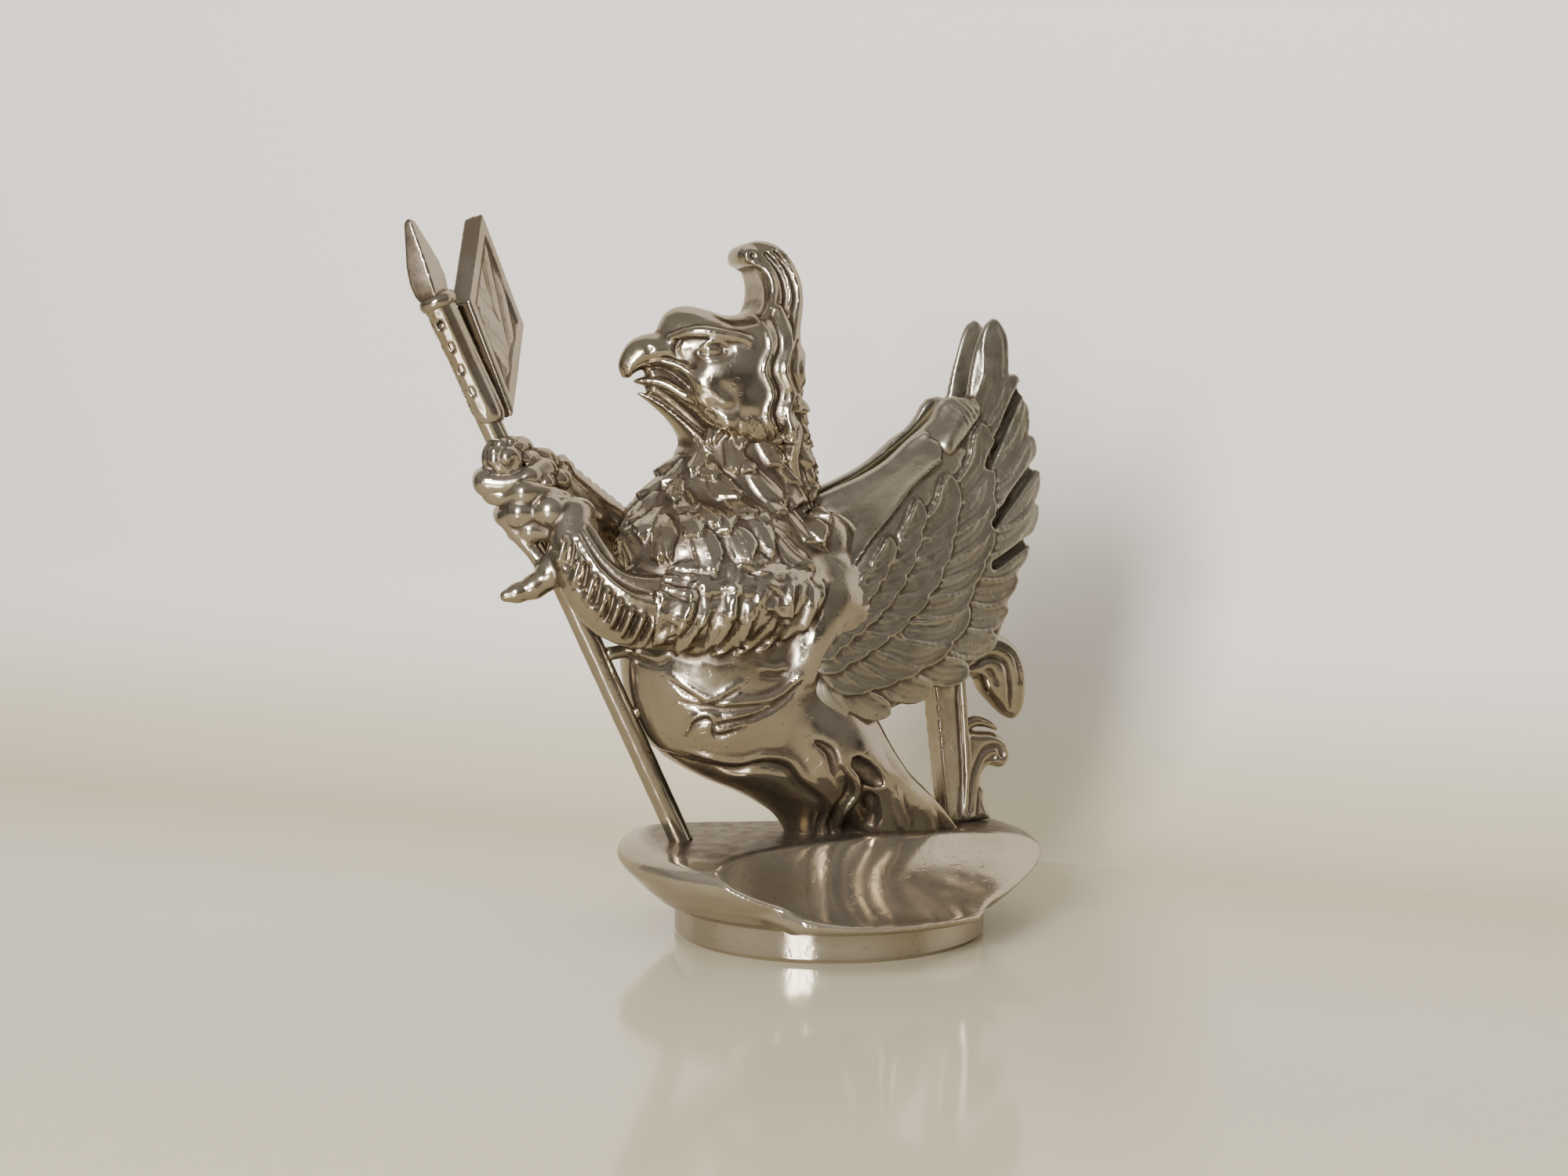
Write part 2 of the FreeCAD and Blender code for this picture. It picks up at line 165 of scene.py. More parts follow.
def outline_distance(x, z, outline):
    """Signed distance in the XZ plane to a closed outline, negative inside."""
    p = np.array(outline, float)
    x, z = np.broadcast_arrays(x, z)
    best = np.full(x.shape, 1e9)
    inside = np.zeros(x.shape, bool)
    for a, b in zip(p, np.roll(p, -1, 0)):
        dx, dz = to_segment(x, z, a, b)[1:]
        best = np.minimum(best, dx ** 2 + dz ** 2)
        if a[1] != b[1]:
            inside ^= ((a[1] > z) != (b[1] > z)) & (x < a[0] + (b[0] - a[0]) * (z - a[1]) / (b[1] - a[1]))
    best = np.sqrt(best)
    return np.where(inside, -best, best)


def closed_smooth(outline, fine=4):
    """A closed Catmull-Rom line through the outline's points."""
    p = np.array(outline, float)
    q = np.vstack([p[-1], p, p[0], p[1]])
    full = smooth_path(q, fine)
    return full[fine:-2 * fine]


# -------------------- relief worked into a mesh's skin
def vertex_normals(p, quads):
    n = np.cross(p[quads[:, 2]] - p[quads[:, 0]], p[quads[:, 3]] - p[quads[:, 1]])
    out = np.zeros_like(p)
    for i in range(4):
        for axis in range(3):
            out[:, axis] += np.bincount(quads[:, i], n[:, axis], len(p))
    return out / np.maximum(np.linalg.norm(out, axis=1, keepdims=True), 1e-12)


def neighbour_mean(p, quads, rounds=1):
    """Each vertex's value replaced by its neighbours' mean, that many times over."""
    count = np.zeros(len(p))
    for i in range(4):
        count += 2 * np.bincount(quads[:, i], minlength=len(p))
    values = p if p.ndim == 2 else p[:, None]
    for _ in range(rounds):
        total = np.zeros_like(values)
        for i in range(4):
            for j in ((i + 1) % 4, (i + 3) % 4):
                for axis in range(values.shape[1]):
                    total[:, axis] += np.bincount(quads[:, i], values[quads[:, j], axis], len(p))
        values = total / count[:, None]
    return values if p.ndim == 2 else values[:, 0]


class Skin:
    """A meshed field whose vertices take relief along their normals."""

    def __init__(self, field, smooth=1):
        self.p, self.quads = field.mesh()
        self.p = self.p + 0.8 * (neighbour_mean(self.p, self.quads, smooth) - self.p)
        a, b, c = (self.p[self.quads[:, i]] for i in (0, 1, 2))
        if np.einsum("ij,ij->i", a, np.cross(b, c)).sum() < 0:
            self.quads = self.quads[:, ::-1].copy()
        self.n = vertex_normals(self.p, self.quads)
        self.h = np.zeros(len(self.p))

    def feather(self, root, along, length, width, lift, curve=0.0, barbs=0.0, point=1.0, rim=0.0):
        """A shingle that rises from its root to a tip standing proud by lift, with a shaft and fine barbs."""
        nearest = ((self.p - np.array(root, float)) ** 2).sum(1).argmin()
        base, normal = self.p[nearest], self.n[nearest]
        along = np.array(along, float) - normal * (np.array(along, float) @ normal)
        along /= max(np.linalg.norm(along), 1e-9)
        across = np.cross(normal, along)
        d = self.p - (base + along * length * 0.5)
        reach = length * 0.75 + width
        i = np.nonzero(((d * d).sum(1) < reach * reach) & (self.n @ normal > 0.1))[0]
        d = self.p[i] - base
        t = (d @ along) / length
        w = d @ across - curve * length * t * t
        u = np.clip(t, 0, 1)
        half = 0.5 * width * (0.45 + 0.75 * np.sin(math.pi * np.clip(u * 0.72 + 0.06, 0, 1))) \
            * np.clip((1 - u) * 3.2, 0, 1) ** (0.5 * point)
        edge = half - np.abs(w)
        inside = (t > 0) & (t < 1) & (edge > 0)
        slope = np.clip(edge / 0.35, 0, 1)
        crown = 1 - 0.35 * (np.abs(w) / np.maximum(half, 0.1)) ** 2
        vane = lift * (0.15 + 0.85 * u) * crown * slope
        shaft = 0.16 * lift * np.exp(-(w / 0.16) ** 2) * (u < 0.9)
        comb = barbs * lift * np.sin((t * length * 1.1 + np.abs(w) * 1.3) * 7.0) * slope
        ring = rim * np.exp(-((edge - 0.18) / 0.16) ** 2)
        self.h[i] = np.maximum(self.h[i], np.where(inside, vane + shaft + comb + ring, -1))

    def groove(self, side, points, depth, width):
        """A hollow, or with a negative depth a cord, along (x, z) points drawn in the side view.
        It lands on the skin that faces that side."""
        line = smooth_path([(x, 0, z) for x, z in points], 6)
        low, high = line.min(0) - 3 * width, line.max(0) + 3 * width
        low[1], high[1] = (-99, 0) if side < 0 else (0, 99)
        i = np.nonzero(((self.p > low) & (self.p < high)).all(1))[0]
        flat = self.p[i] * (1, 0, 1)
        near = np.full(len(i), 1e9)
        for k, (a, b) in enumerate(zip(line[:-1], line[1:])):
            ab = b - a
            t = np.clip((flat - a) @ ab / max(ab @ ab, 1e-9), 0, 1)
            ends = max(abs((k + 0.5) / (len(line) - 1) * 2 - 1) - 0.6, 0) * 2.2 * width
            near = np.minimum(near, np.linalg.norm(flat - a - t[:, None] * ab, axis=1) + ends)
        self.h[i] -= depth * np.exp(-(near / width) ** 2) * (self.n[i, 1] * side > 0)

    def settle(self):
        """Moves the vertices by the relief gathered so far, and starts again from the new skin."""
        self.p = self.p + self.n * self.h[:, None]
        self.n = vertex_normals(self.p, self.quads)
        self.h = np.zeros(len(self.p))

    def hollows(self):
        """How deep each vertex lies among its neighbours, from -1 on a ridge to 1 in a groove."""
        near = ((neighbour_mean(self.p, self.quads, 3) - self.p) * self.n).sum(1)
        wide = ((neighbour_mean(self.p, self.quads, 14) - self.p) * self.n).sum(1)
        return np.clip(near * 9 + wide * 2.2, -1, 1)

    def finish(self, name, material, *nodes, tarnish_and_shade=hollows):
        """Makes the piece that stands for the nodes, tarnished, and on the spear point dark with painted
        shade, where the given function of the skin says.
        """
        self.settle()
        return make_piece(name, self.p, self.quads, material, nodes, tarnish_and_shade(self))


def make_piece(name, points, faces, material, nodes, hollow=None, body="mascot"):
    """A visible piece. Its attribute hollow says where its material is tarnished, and on the spear point also
    where shade is painted.
    """
    # Blender adds a number where the CAD's materials have the name already
    mesh = bpy.data.meshes.new(name)
    mesh.from_pydata((np.asarray(points) * MM).tolist(), [], [tuple(int(i) for i in f) for f in faces])
    mesh.validate()
    mesh.shade_smooth()
    values = np.zeros(len(mesh.vertices), np.float32) if hollow is None else hollow.astype(np.float32)
    mesh.attributes.new("hollow", "FLOAT", "POINT").data.foreach_set("value", values)
    mesh.materials.append(material)
    piece = bpy.data.objects.new(name, mesh)
    bpy.context.scene.collection.objects.link(piece)
    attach(piece, body)
    if nodes:
        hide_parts(*nodes)
    return piece


# -------------------- materials
class Nodes:
    """The node tree of a material or a world, and the few kinds of node that they use."""

    def __init__(self, owner):
        owner.use_nodes = True
        self.owner = owner
        self.tree = owner.node_tree
        self.shader = self.tree.nodes.get("Principled BSDF")

    def add(self, kind):
        return self.tree.nodes.new(kind)

    def link(self, a, b):
        self.tree.links.new(a, b)

    def value(self, socket, source):
        if hasattr(source, "is_output"):
            self.link(source, socket)
        else:
            socket.default_value = source

    def surface(self, color, roughness, normal=None, metallic=0.0):
        """Sets the shader's main inputs."""
        self.value(self.shader.inputs["Base Color"], color)
        self.value(self.shader.inputs["Roughness"], roughness)
        self.shader.inputs["Metallic"].default_value = metallic
        if normal is not None:
            self.link(normal, self.shader.inputs["Normal"])

    def place(self, kind="Object"):
        return self.add("ShaderNodeTexCoord").outputs[kind]

    def height(self, where):
        node = self.add("ShaderNodeSeparateXYZ")
        self.link(where, node.inputs[0])
        return node.outputs["Z"]

    def noise(self, where, scale, detail=3.0, rough=0.55):
        node = self.add("ShaderNodeTexNoise")
        self.link(where, node.inputs["Vector"])
        node.inputs["Scale"].default_value = scale
        node.inputs["Detail"].default_value = detail
        node.inputs["Roughness"].default_value = rough
        return node.outputs["Fac"]

    def span(self, source, from_low, from_high, to_low=0.0, to_high=1.0, kind="SMOOTHSTEP"):
        node = self.add("ShaderNodeMapRange")
        node.interpolation_type = kind
        self.value(node.inputs["Value"], source)
        for key, v in (("From Min", from_low), ("From Max", from_high), ("To Min", to_low),
                       ("To Max", to_high)):
            self.value(node.inputs[key], v)
        return node.outputs["Result"]

    def math(self, operation, a, b=0.0):
        node = self.add("ShaderNodeMath")
        node.operation = operation
        self.value(node.inputs[0], a)
        self.value(node.inputs[1], b)
        return node.outputs[0]

    def mix(self, amount, a, b):
        node = self.add("ShaderNodeMix")
        node.data_type = "RGBA"
        self.value(node.inputs["Factor"], amount)
        self.value(node.inputs[6], a)
        self.value(node.inputs[7], b)
        return node.outputs[2]

    def bump(self, height, strength, distance, normal=None):
        node = self.add("ShaderNodeBump")
        node.inputs["Strength"].default_value = strength
        node.inputs["Distance"].default_value = distance
        self.link(height, node.inputs["Height"])
        if normal is not None:
            self.link(normal, node.inputs["Normal"])
        return node.outputs["Normal"]


def rgb(r, g, b):
    return (r, g, b, 1.0)


def tinted(color, r, g, b):
    return rgb(color[0] * r, color[1] * g, color[2] * b)


def worn_nickel(name, light, dark, rough_low, rough_high, pits, waves, metallic=0.95):
    """Old warm nickel plate: tarnished hollows, mottled shine, fine pits and a slightly wavy polish.
    The same dark colour also lays on the painted shade that a piece's hollow attribute may carry.
    """
    m = Nodes(bpy.data.materials.new(name))
    place = m.place()
    hollow = m.add("ShaderNodeAttribute")
    hollow.attribute_name = "hollow"
    mottle = m.noise(place, 90, 4)
    cloud = m.noise(place, 420, 5, 0.65)
    grain = m.noise(place, 2600, 3, 0.6)
    speck = m.noise(place, 1300, 2, 0.5)
    pit = m.span(m.noise(place, 900, 3, 0.5), 0.28, 0.42)
    # the hollow attribute holds tarnish, and on the spear point also painted shade on the faces turned to the
    # left and back
    tarnish_and_shade = m.span(hollow.outputs["Fac"], -0.04, 0.38)
    broken = m.math("MULTIPLY", tarnish_and_shade, m.span(cloud, 0.25, 0.7, 0.55, 1.0))
    base = m.mix(m.span(mottle, 0.35, 0.7), light, tinted(light, 0.86, 0.82, 0.76))
    base = m.mix(m.span(speck, 0.66, 0.74, 0.0, 0.55), base, tinted(light, 0.5, 0.42, 0.34))
    dull = m.math("ADD", m.span(cloud, 0.3, 0.75, rough_low, rough_high), m.math("MULTIPLY", tarnish_and_shade, 0.28))
    normal = m.bump(pit, pits, 0.00008)
    normal = m.bump(grain, 0.10, 0.00005, normal)
    normal = m.bump(m.noise(place, 260, 1.5), waves, 0.0004, normal)
    m.surface(m.mix(broken, base, dark), dull, normal, metallic)
    m.shader.inputs["Specular Tint"].default_value = rgb(0.72, 0.68, 0.62)
    return m.owner


FIGURE = worn_nickel("figure_nickel", rgb(0.345, 0.305, 0.245), rgb(0.075, 0.056, 0.042), 0.10, 0.26, 0.25,
                     0.20)
WING = worn_nickel("wing_nickel", rgb(0.295, 0.275, 0.23), rgb(0.075, 0.057, 0.043), 0.24, 0.40, 0.25, 0.16)
STAFF = worn_nickel("staff_nickel", rgb(0.335, 0.295, 0.24), rgb(0.08, 0.06, 0.045), 0.10, 0.22, 0.20, 0.16)
BASE = worn_nickel("base_nickel", rgb(0.37, 0.33, 0.265), rgb(0.08, 0.06, 0.045), 0.08, 0.17, 0.16, 0.05,
                   0.84)


# -------------------- the body: haunches, belly, chest and neck
BODY_SECTIONS = [  # height, front, back and half-width
    (13.0, -6.5, 17.4, 7.6), (14.4, -6.8, 16.6, 7.4), (15.6, -7.4, 15.4, 7.4), (17.5, -9.0, 13.6, 7.8),
    (20.3, -13.6, 11.2, 8.8), (23.5, -20.4, 8.6, 10.2), (27.0, -25.6, 5.6, 11.6), (31.5, -28.3, 3.0, 12.8),
    (37.0, -30.1, 2.4, 13.2), (43.0, -30.5, 2.2, 13.0), (50.0, -30.4, 0.6, 12.0), (56.0, -30.2, -1.4, 11.0),
    (60.5, -28.6, -2.8, 9.8), (64.5, -25.2, -3.2, 8.6), (68.0, -21.9, -3.8, 7.6), (71.5, -20.3, -4.6, 7.0),
    (75.0, -19.3, -6.0, 6.4),
]
LEG_RECESSES = [  # path and softness: two leaves behind one another, and the hollow in front of them
    ([(-2.2, 13.0, 26.6, 0.5), (-0.6, 12.9, 25.0, 1.4), (1.4, 12.5, 23.4, 1.3), (2.8, 12.2, 22.5, 0.5)],
     0.25),
    ([(0.7, 12.6, 20.7, 0.9), (1.4, 12.7, 18.6, 1.3), (2.2, 13.0, 16.2, 1.2), (2.4, 13.2, 13.6, 0.9)],
     0.25),
    ([(-7.2, 12.6, 29.0, 0.3), (-5.2, 13.4, 27.4, 0.7), (-4.4, 13.6, 24.2, 0.9), (-2.9, 13.3, 21.0, 0.9),
      (-2.8, 13.2, 17.0, 0.8), (-3.0, 13.2, 13.2, 0.8)], 0.35),
]


def body_form(height):
    """The front, the back and the half-width of the body at a height, or at many."""
    table = smooth_path(BODY_SECTIONS, 6)
    return [np.interp(height, table[:, 0], table[:, i]) for i in (1, 2, 3)]


def body_field():
    f = Field((-36.0, -19.5, 12.5), (21.5, 19.5, 77), 0.34)
    x, y, z = f.grid()
    front, back, half = body_form(z)
    centre, reach = (front + back) / 2, (back - front) / 2
    # square-cornered sections low down, round ones above
    power = np.interp(z, [16, 22, 32, 44], [3.0, 2.8, 2.3, 2.0])
    q = ((np.abs(x - centre) / reach) ** power + (np.abs(y) / half) ** power) ** (1 / power)
    f.f[:] = np.maximum((q - 1) * np.minimum(reach, half), z - 75.5)
    for s in SIDES:
        # haunch and leg, and the rounded edge behind it
        f.ball((-3.0, 7.4 * s, 27.0), (7.4, 6.4, 10.5), 2.5, tilt=14)
        f.tube([(0.0, 7.4, 27, 5.0), (4.0, 8.0, 21, 5.0), (7.2, 8.0, 16.5, 5.6), (8.0, 8.0, 12, 6.0)], 2.2,
               side=s)
        f.tube([(-0.6, 9.0, 35.0, 1.0), (1.7, 9.8, 30.6, 1.5), (4.0, 10.2, 26.3, 1.6), (7.5, 10.0, 21.4, 1.6),
                (11.2, 9.4, 18.0, 1.6), (13.8, 9.0, 14.8, 1.7), (15.4, 8.6, 12.5, 1.8)], 0.45, side=s)
        # shoulder, wing root and elbow
        f.ball((-17.5, 8.6 * s, 52.5), (11.5, 6.4, 7.2), 4.2, tilt=-6, turn=-4 * s)
        f.ball((-3.5, 8.5 * s, 47.0), (7.5, 5.6, 9.5), 3.0, tilt=20)
        f.ball((-18.8 + 1.2 * s, 9.2 * s, 48.4 + 0.5 * s), (10.0 - s, 5.4, 5.8), 1.2)
        f.tube([(-8.6, 12.2, 38.5, 1.8), (-6.9, 13.0, 43.5, 2.0), (-4.0, 12.4, 48.5, 1.8)], 2.4, side=s)
    # the near upper arm, the far one, which is raised, and the edge of the breast
    f.tube([(-10, -11.2, 49.2, 5.0), (-18, -11.4, 48.8, 6.0), (-26, -10.4, 48.0, 5.6),
            (-31, -9.3, 48.8, 4.4)], 1.6)
    f.tube([(-10, 11.2, 49.5, 5.0), (-17.5, 11.4, 51.6, 5.7), (-25.5, 9.6, 54.2, 4.7),
            (-30.5, 7.6, 57.0, 3.6)], 2.0)
    f.tube([(-30.6, -5.6, 56.4, 1.2), (-28.0, -6.4, 55.6, 2.8), (-24.0, -7.8, 54.8, 4.2),
            (-17, -9.2, 54.6, 5.2)], 3.6)
    for s in SIDES:
        # locks of hair down the back of the neck
        for k, (x, z) in enumerate(((-4.9, 74.6), (-4.1, 69.4), (-3.5, 63.4))):
            for y in (0.7, 2.6, 4.4):
                lag = 0.9 * (k % 2) + 0.7 * y
                f.tube([(x - 1.6 - 0.2 * y, y, z + 4.6 - lag, 1.0),
                        (x - 0.9 - 0.25 * y, y * 1.1, z + 2.0 - lag, 1.25),
                        (x - 0.25 - 0.3 * y, y * 1.2, z - lag, 0.8),
                        (x + 0.55 - 0.3 * y, y * 1.25, z - 1.2 - lag, 0.35)], 0.3, side=s)
        f.ball((-4.0, 7.9 * s, 55.4), (4.4, 3.6, 4.6), 0.7, tilt=40)
        # leaf-shaped recesses in the leg
        for path, k in LEG_RECESSES:
            f.tube(path, k, carve=True, side=s)
    f.join((-40, -30, 0), (40, 30, 15.5), lambda x, y, z: z - 13.2, 0.05, carve=True)
    return f


CREASES = [  # in the side view: three that run together on the flank, a curl below them, and two short ones
    [(-26.5, 37.5), (-23.7, 35.4), (-21.3, 34.7), (-18.1, 36.6)],
    [(-25.3, 34.8), (-21.3, 34.0), (-14.9, 34.2), (-11.0, 35.9), (-9.4, 37.4)],
    [(-21.2, 31.6), (-17.0, 32.4), (-13.6, 33.8), (-11.0, 35.4)],
    [(-24.4, 30.0), (-23.4, 32.0), (-21.6, 32.3), (-20.8, 30.2), (-17.0, 31.3)],
    [(-30.0, 40.4), (-27.8, 39.8), (-26.6, 40.6)],
    [(-15.0, 38.6), (-13.0, 38.3), (-11.6, 38.7)],
]
THIGH_FOLD = [(-24.8, 28.3), (-20.8, 27.0), (-17.2, 26.4), (-14.1, 27.1), (-10.6, 26.5), (-8.4, 23.9),
              (-5.6, 21.6), (-4.2, 19.4), (-3.6, 16.4), (-3.6, 13)]
TENDON = [(-3.6, 25.0), (-1.9, 21.6), (-2.6, 18.2), (-1.2, 14.6)]
FEATHER_RINGS = [  # height, size and count, from the breast up to the neck
    (54.0, 1.0, 11), (56.6, 1.0, 12), (59.0, 1.0, 12), (61.4, 0.95, 12), (63.7, 0.9, 12), (65.9, 0.85, 12),
    (68.0, 0.8, 12), (70.1, 0.75, 11), (72.2, 0.65, 10),
]
ARM_ROWS = [  # height, x from and to, count
    (47.6, -31.0, -13.0, 8), (50.2, -31.5, -10.5, 9), (52.8, -29.5, -8.5, 9),
]
FRINGE = [(-9.6, 45.0), (-12.2, 43.0), (-15.0, 41.6), (-17.8, 41.2), (-20.6, 41.2), (-23.6, 41.6),
          (-26.4, 42.4), (-29.0, 43.6)]
DRAWN_BELOW = 24.0  # the height at which the haunches start to narrow


def moved(points, right, up):
    return [(x + right, z + up) for x, z in points]


def draw_in_haunches(skin):
    """Narrows the haunches downwards, to stand on the land between the grip hollows."""
    drawn = 0.40 * np.clip((DRAWN_BELOW - skin.p[:, 2]) / 9.6, 0, 1) ** 1.3
    skin.p[:, 0] += 0.38 * np.abs(skin.p[:, 1]) * drawn
    skin.p[:, 1] *= 1 - drawn
    skin.n = vertex_normals(skin.p, skin.quads)


def breast_feathers(skin):
    """Flame-shaped feathers in rings round the breast and neck, the lower ones first."""
    for ring, (z, size, count) in enumerate(FEATHER_RINGS):
        front, back, half = body_form(z)
        for k in range(count):
            a = (k + 0.5 * (ring % 2)) / count * 2 - 1
            angle = a * math.pi * (0.98 if z > 58 else 0.52)
            x = (front + back) / 2 - (back - front) / 2 * math.cos(angle)
            sweep = 0.55 * math.sin(2 * angle + 0.9 * ring) + RNG.normal(0, 0.22)
            along = Vector((0.15 + abs(math.sin(angle)) * 0.45, 0.35 * sweep, -1))
            length = 6.2 * size * RNG.uniform(0.7, 1.35)
            skin.feather((x, half * math.sin(angle), z + 2.2), along, length,
                         3.1 * size * RNG.uniform(0.8, 1.2), 1.35 * size, curve=sweep * 0.55, point=2.4,
                         rim=0.12)


def arm_feathers(skin, s, wrist_height, lift):
    """Flame-shaped folds that fan from one wrist over the arm, and end in a ragged fringe over the flank."""
    for row, (level, first, last, count) in enumerate(ARM_ROWS):
        for k in range(count):
            x = first + (last - first) * (k + 0.5 * (row % 2)) / count + RNG.normal(0, 0.3)
            rise = lift * min(max((-x - 8) / 22, 0), 1.2) + RNG.normal(0, 0.25)
            skin.feather((x + 3.0, 16.5 * s, level + rise + 1.4), (-0.85, 0, -0.45 - 0.25 * (k % 2)),
                         5.4 * RNG.uniform(0.8, 1.3), 2.9, 1.0, curve=0.5 * s * (1 if k % 2 else -1),
                         point=2.2, rim=0.12)
    for spread in (-2.4, 0.0, 2.4):
        skin.groove(s, [(-33.0, wrist_height + spread * 0.12), (-29, 51.2 + lift * 0.9 + spread * 0.5),
                        (-25, 50.4 + lift * 0.6 + spread * 0.8)], 0.5, 0.4)
    for k, (x, low) in enumerate(FRINGE):
        lean = 1.3 + 0.8 * (k % 2)
        rise = 5.4 + 1.6 * (k % 3)
        skin.groove(s, [(x + lean + 1.2, low + rise), (x + lean, low + 2.8), (x + 0.5, low + 1.0),
                        (x - 0.8, low + 0.2)], -0.9, 0.75)
        skin.groove(s, [(x + lean + 2.4, low + rise), (x + lean + 1.2, low + 2.4), (x + 1.8, low + 0.6)],
                    0.5, 0.4)


def body_piece():
    skin = Skin(body_field())
    for s in SIDES:
        for path in CREASES:
            skin.groove(s, path, 0.42, 0.36)
            skin.groove(s, moved(path, 0, 0.85), -0.34, 0.5)
        skin.groove(s, THIGH_FOLD, -0.45, 0.6)
        skin.groove(s, moved(THIGH_FOLD, -0.5, -1.4), 0.8, 0.8)
    skin.settle()
    draw_in_haunches(skin)
    for s in SIDES:
        # tendons and hollows between them, down to the foot
        skin.groove(s, TENDON, 1.0, 0.55)
        skin.groove(s, moved(TENDON, 1.25, 0), -0.7, 0.5)
        skin.groove(s, [(1.7, 20.6), (2.5, 18.3), (3.6, 16.0)], 1.2, 0.85)
        skin.groove(s, [(5.0, 21.5), (6.2, 18.6), (8.2, 15.6)], -0.6, 0.7)
    skin.settle()
    breast_feathers(skin)
    arm_feathers(skin, -1, 53.2, 0.0)
    arm_feathers(skin, 1, 60.0, 4.0)
    skin.finish("griffin_body", FIGURE, "torso", "staff_ties")


# -------------------- the head with its crest
SKULL = [  # this and the next three are outlines in the side view, as (x, z)
    (-30.3, 78.2), (-30.9, 79.8), (-30.4, 81.6), (-29.2, 83.2), (-27.4, 84.1), (-25.6, 84.5), (-25.0, 85.7),
    (-24.2, 87.0), (-22.8, 87.9), (-20.8, 88.1), (-18.4, 87.6), (-16.4, 87.0), (-14.4, 87.0), (-11.5, 87.6),
    (-8.6, 87.0), (-6.3, 83.8), (-6.0, 80.0), (-5.6, 75.5), (-5.0, 71.0), (-7.0, 68.5), (-14.0, 68.0),
    (-16.0, 69.0), (-16.6, 71.4), (-18.6, 73.6), (-21.2, 75.9), (-23.2, 77.9), (-24.8, 79.2), (-26.8, 79.5),
    (-28.6, 78.9), (-29.5, 78.1),
]
JAW = [
    (-28.6, 76.3), (-26.6, 76.0), (-24.4, 74.7), (-22.1, 72.8), (-19.8, 71.0), (-17.8, 69.9), (-15.5, 70.4),
    (-12.0, 71.0), (-10.0, 69.0), (-13.0, 65.5), (-20.5, 66.0), (-22.8, 67.6), (-22.1, 69.2), (-22.5, 70.6),
    (-24.0, 72.6), (-26.4, 74.7),
]
MANDIBLE = [
    (-28.9, 77.6), (-28.0, 78.3), (-26.2, 78.6), (-24.6, 78.2), (-22.6, 76.9), (-20.0, 75.0), (-17.6, 73.3),
    (-16.9, 72.2), (-17.3, 71.0), (-18.4, 70.7), (-20.0, 71.6), (-22.0, 73.6), (-24.5, 75.7), (-26.8, 77.0),
]
MOUTH = [
    (-27.4, 79.4), (-24.6, 79.4), (-20.5, 76.2), (-16.5, 72.6), (-15.5, 70.5), (-18.0, 69.5), (-20.5, 71.0),
    (-23.0, 73.2), (-25.6, 75.4), (-27.0, 76.4), (-26.6, 78.0),
]


def puffed(f, outline, width, rounding, k=0.6):
    """A flat outline blown up sideways. Its half-breadth and its edge's softness are functions of x and z."""
    x, y, z = f.grid()
    depth = -outline_distance(x[:, 0, :], z[0, 0][None, :], closed_smooth(outline))[:, None, :]
    w, soft = width(x, z), rounding(x, z)
    q = np.maximum(1 - depth / soft, 0)
    f.blend((np.sqrt((y / w) ** 2 + q ** 2) - 1) * np.minimum(w, soft), k)


BEAK_FLUTES = [  # a lengthwise flute on the lower beak, and the dark line round its end
    [(-27.4, 1.9, 77.9, 0.22), (-24.6, 3.8, 77.0, 0.3), (-21.2, 5.8, 74.6, 0.34), (-18.6, 7.1, 72.6, 0.3)],
    [(-23.8, 4.2, 78.9, 0.3), (-21.0, 5.8, 76.4, 0.34), (-18.2, 7.2, 74.0, 0.36), (-16.2, 7.8, 72.4, 0.4),
     (-16.4, 7.7, 70.6, 0.4), (-18.2, 7.2, 69.9, 0.4), (-20.4, 6.1, 71.2, 0.34)],
]
LIP = [(-25.8, 3.4, 80.5, 0.35), (-23.4, 4.6, 79.6, 0.45), (-20.9, 6.0, 77.2, 0.5), (-18.2, 7.4, 75.0, 0.5)]
LIDS = [
    [(-21.6, 5.5, 81.6, 0.26), (-20.6, 6.6, 82.8, 0.34), (-19.2, 7.0, 83.1, 0.36), (-17.4, 7.1, 82.5, 0.30)],
    [(-21.6, 5.5, 81.4, 0.24), (-20.4, 6.6, 80.8, 0.32), (-18.8, 7.0, 80.9, 0.32), (-17.2, 7.2, 81.9, 0.26)],
]
BROW = [(-24.4, 3.2, 83.6, 0.5), (-22.8, 4.8, 84.2, 0.75), (-20.7, 6.1, 84.4, 0.85), (-17.8, 7.2, 83.9, 0.85),
        (-15.4, 7.8, 83.4, 0.7), (-14.0, 7.8, 82.2, 0.45)]
BROW_GROOVES = [  # above the brow, and in front of the eye
    ([(-23.6, 4.6, 85.3, 0.3), (-20.8, 6.4, 85.8, 0.5), (-17.4, 7.4, 85.2, 0.5), (-14.6, 8.2, 84.6, 0.3)],
     0.5),
    ([(-23.2, 3.9, 83.6, 0.35), (-24.0, 3.8, 82.0, 0.4), (-23.4, 4.4, 80.6, 0.35)], 0.4),
]
CREST_BAND = [  # along its middle: x, half-width across, z and half-thickness
    (-9.6, 6.0, 81.0, 3.0), (-9.2, 5.6, 85.0, 3.0), (-8.5, 5.1, 88.6, 2.9), (-8.6, 4.6, 91.4, 2.8),
    (-9.8, 4.0, 94.0, 2.5), (-11.5, 3.3, 95.2, 1.9), (-13.0, 2.9, 95.2, 1.3),
]
CREST_EDGE = [(-13.0, 5.6, 85.6, 0.4), (-11.3, 5.6, 86.9, 0.5), (-10.4, 5.1, 89.4, 0.5),
              (-10.4, 4.6, 91.6, 0.5), (-11.3, 4.0, 93.3, 0.45), (-12.6, 3.7, 93.9, 0.4)]


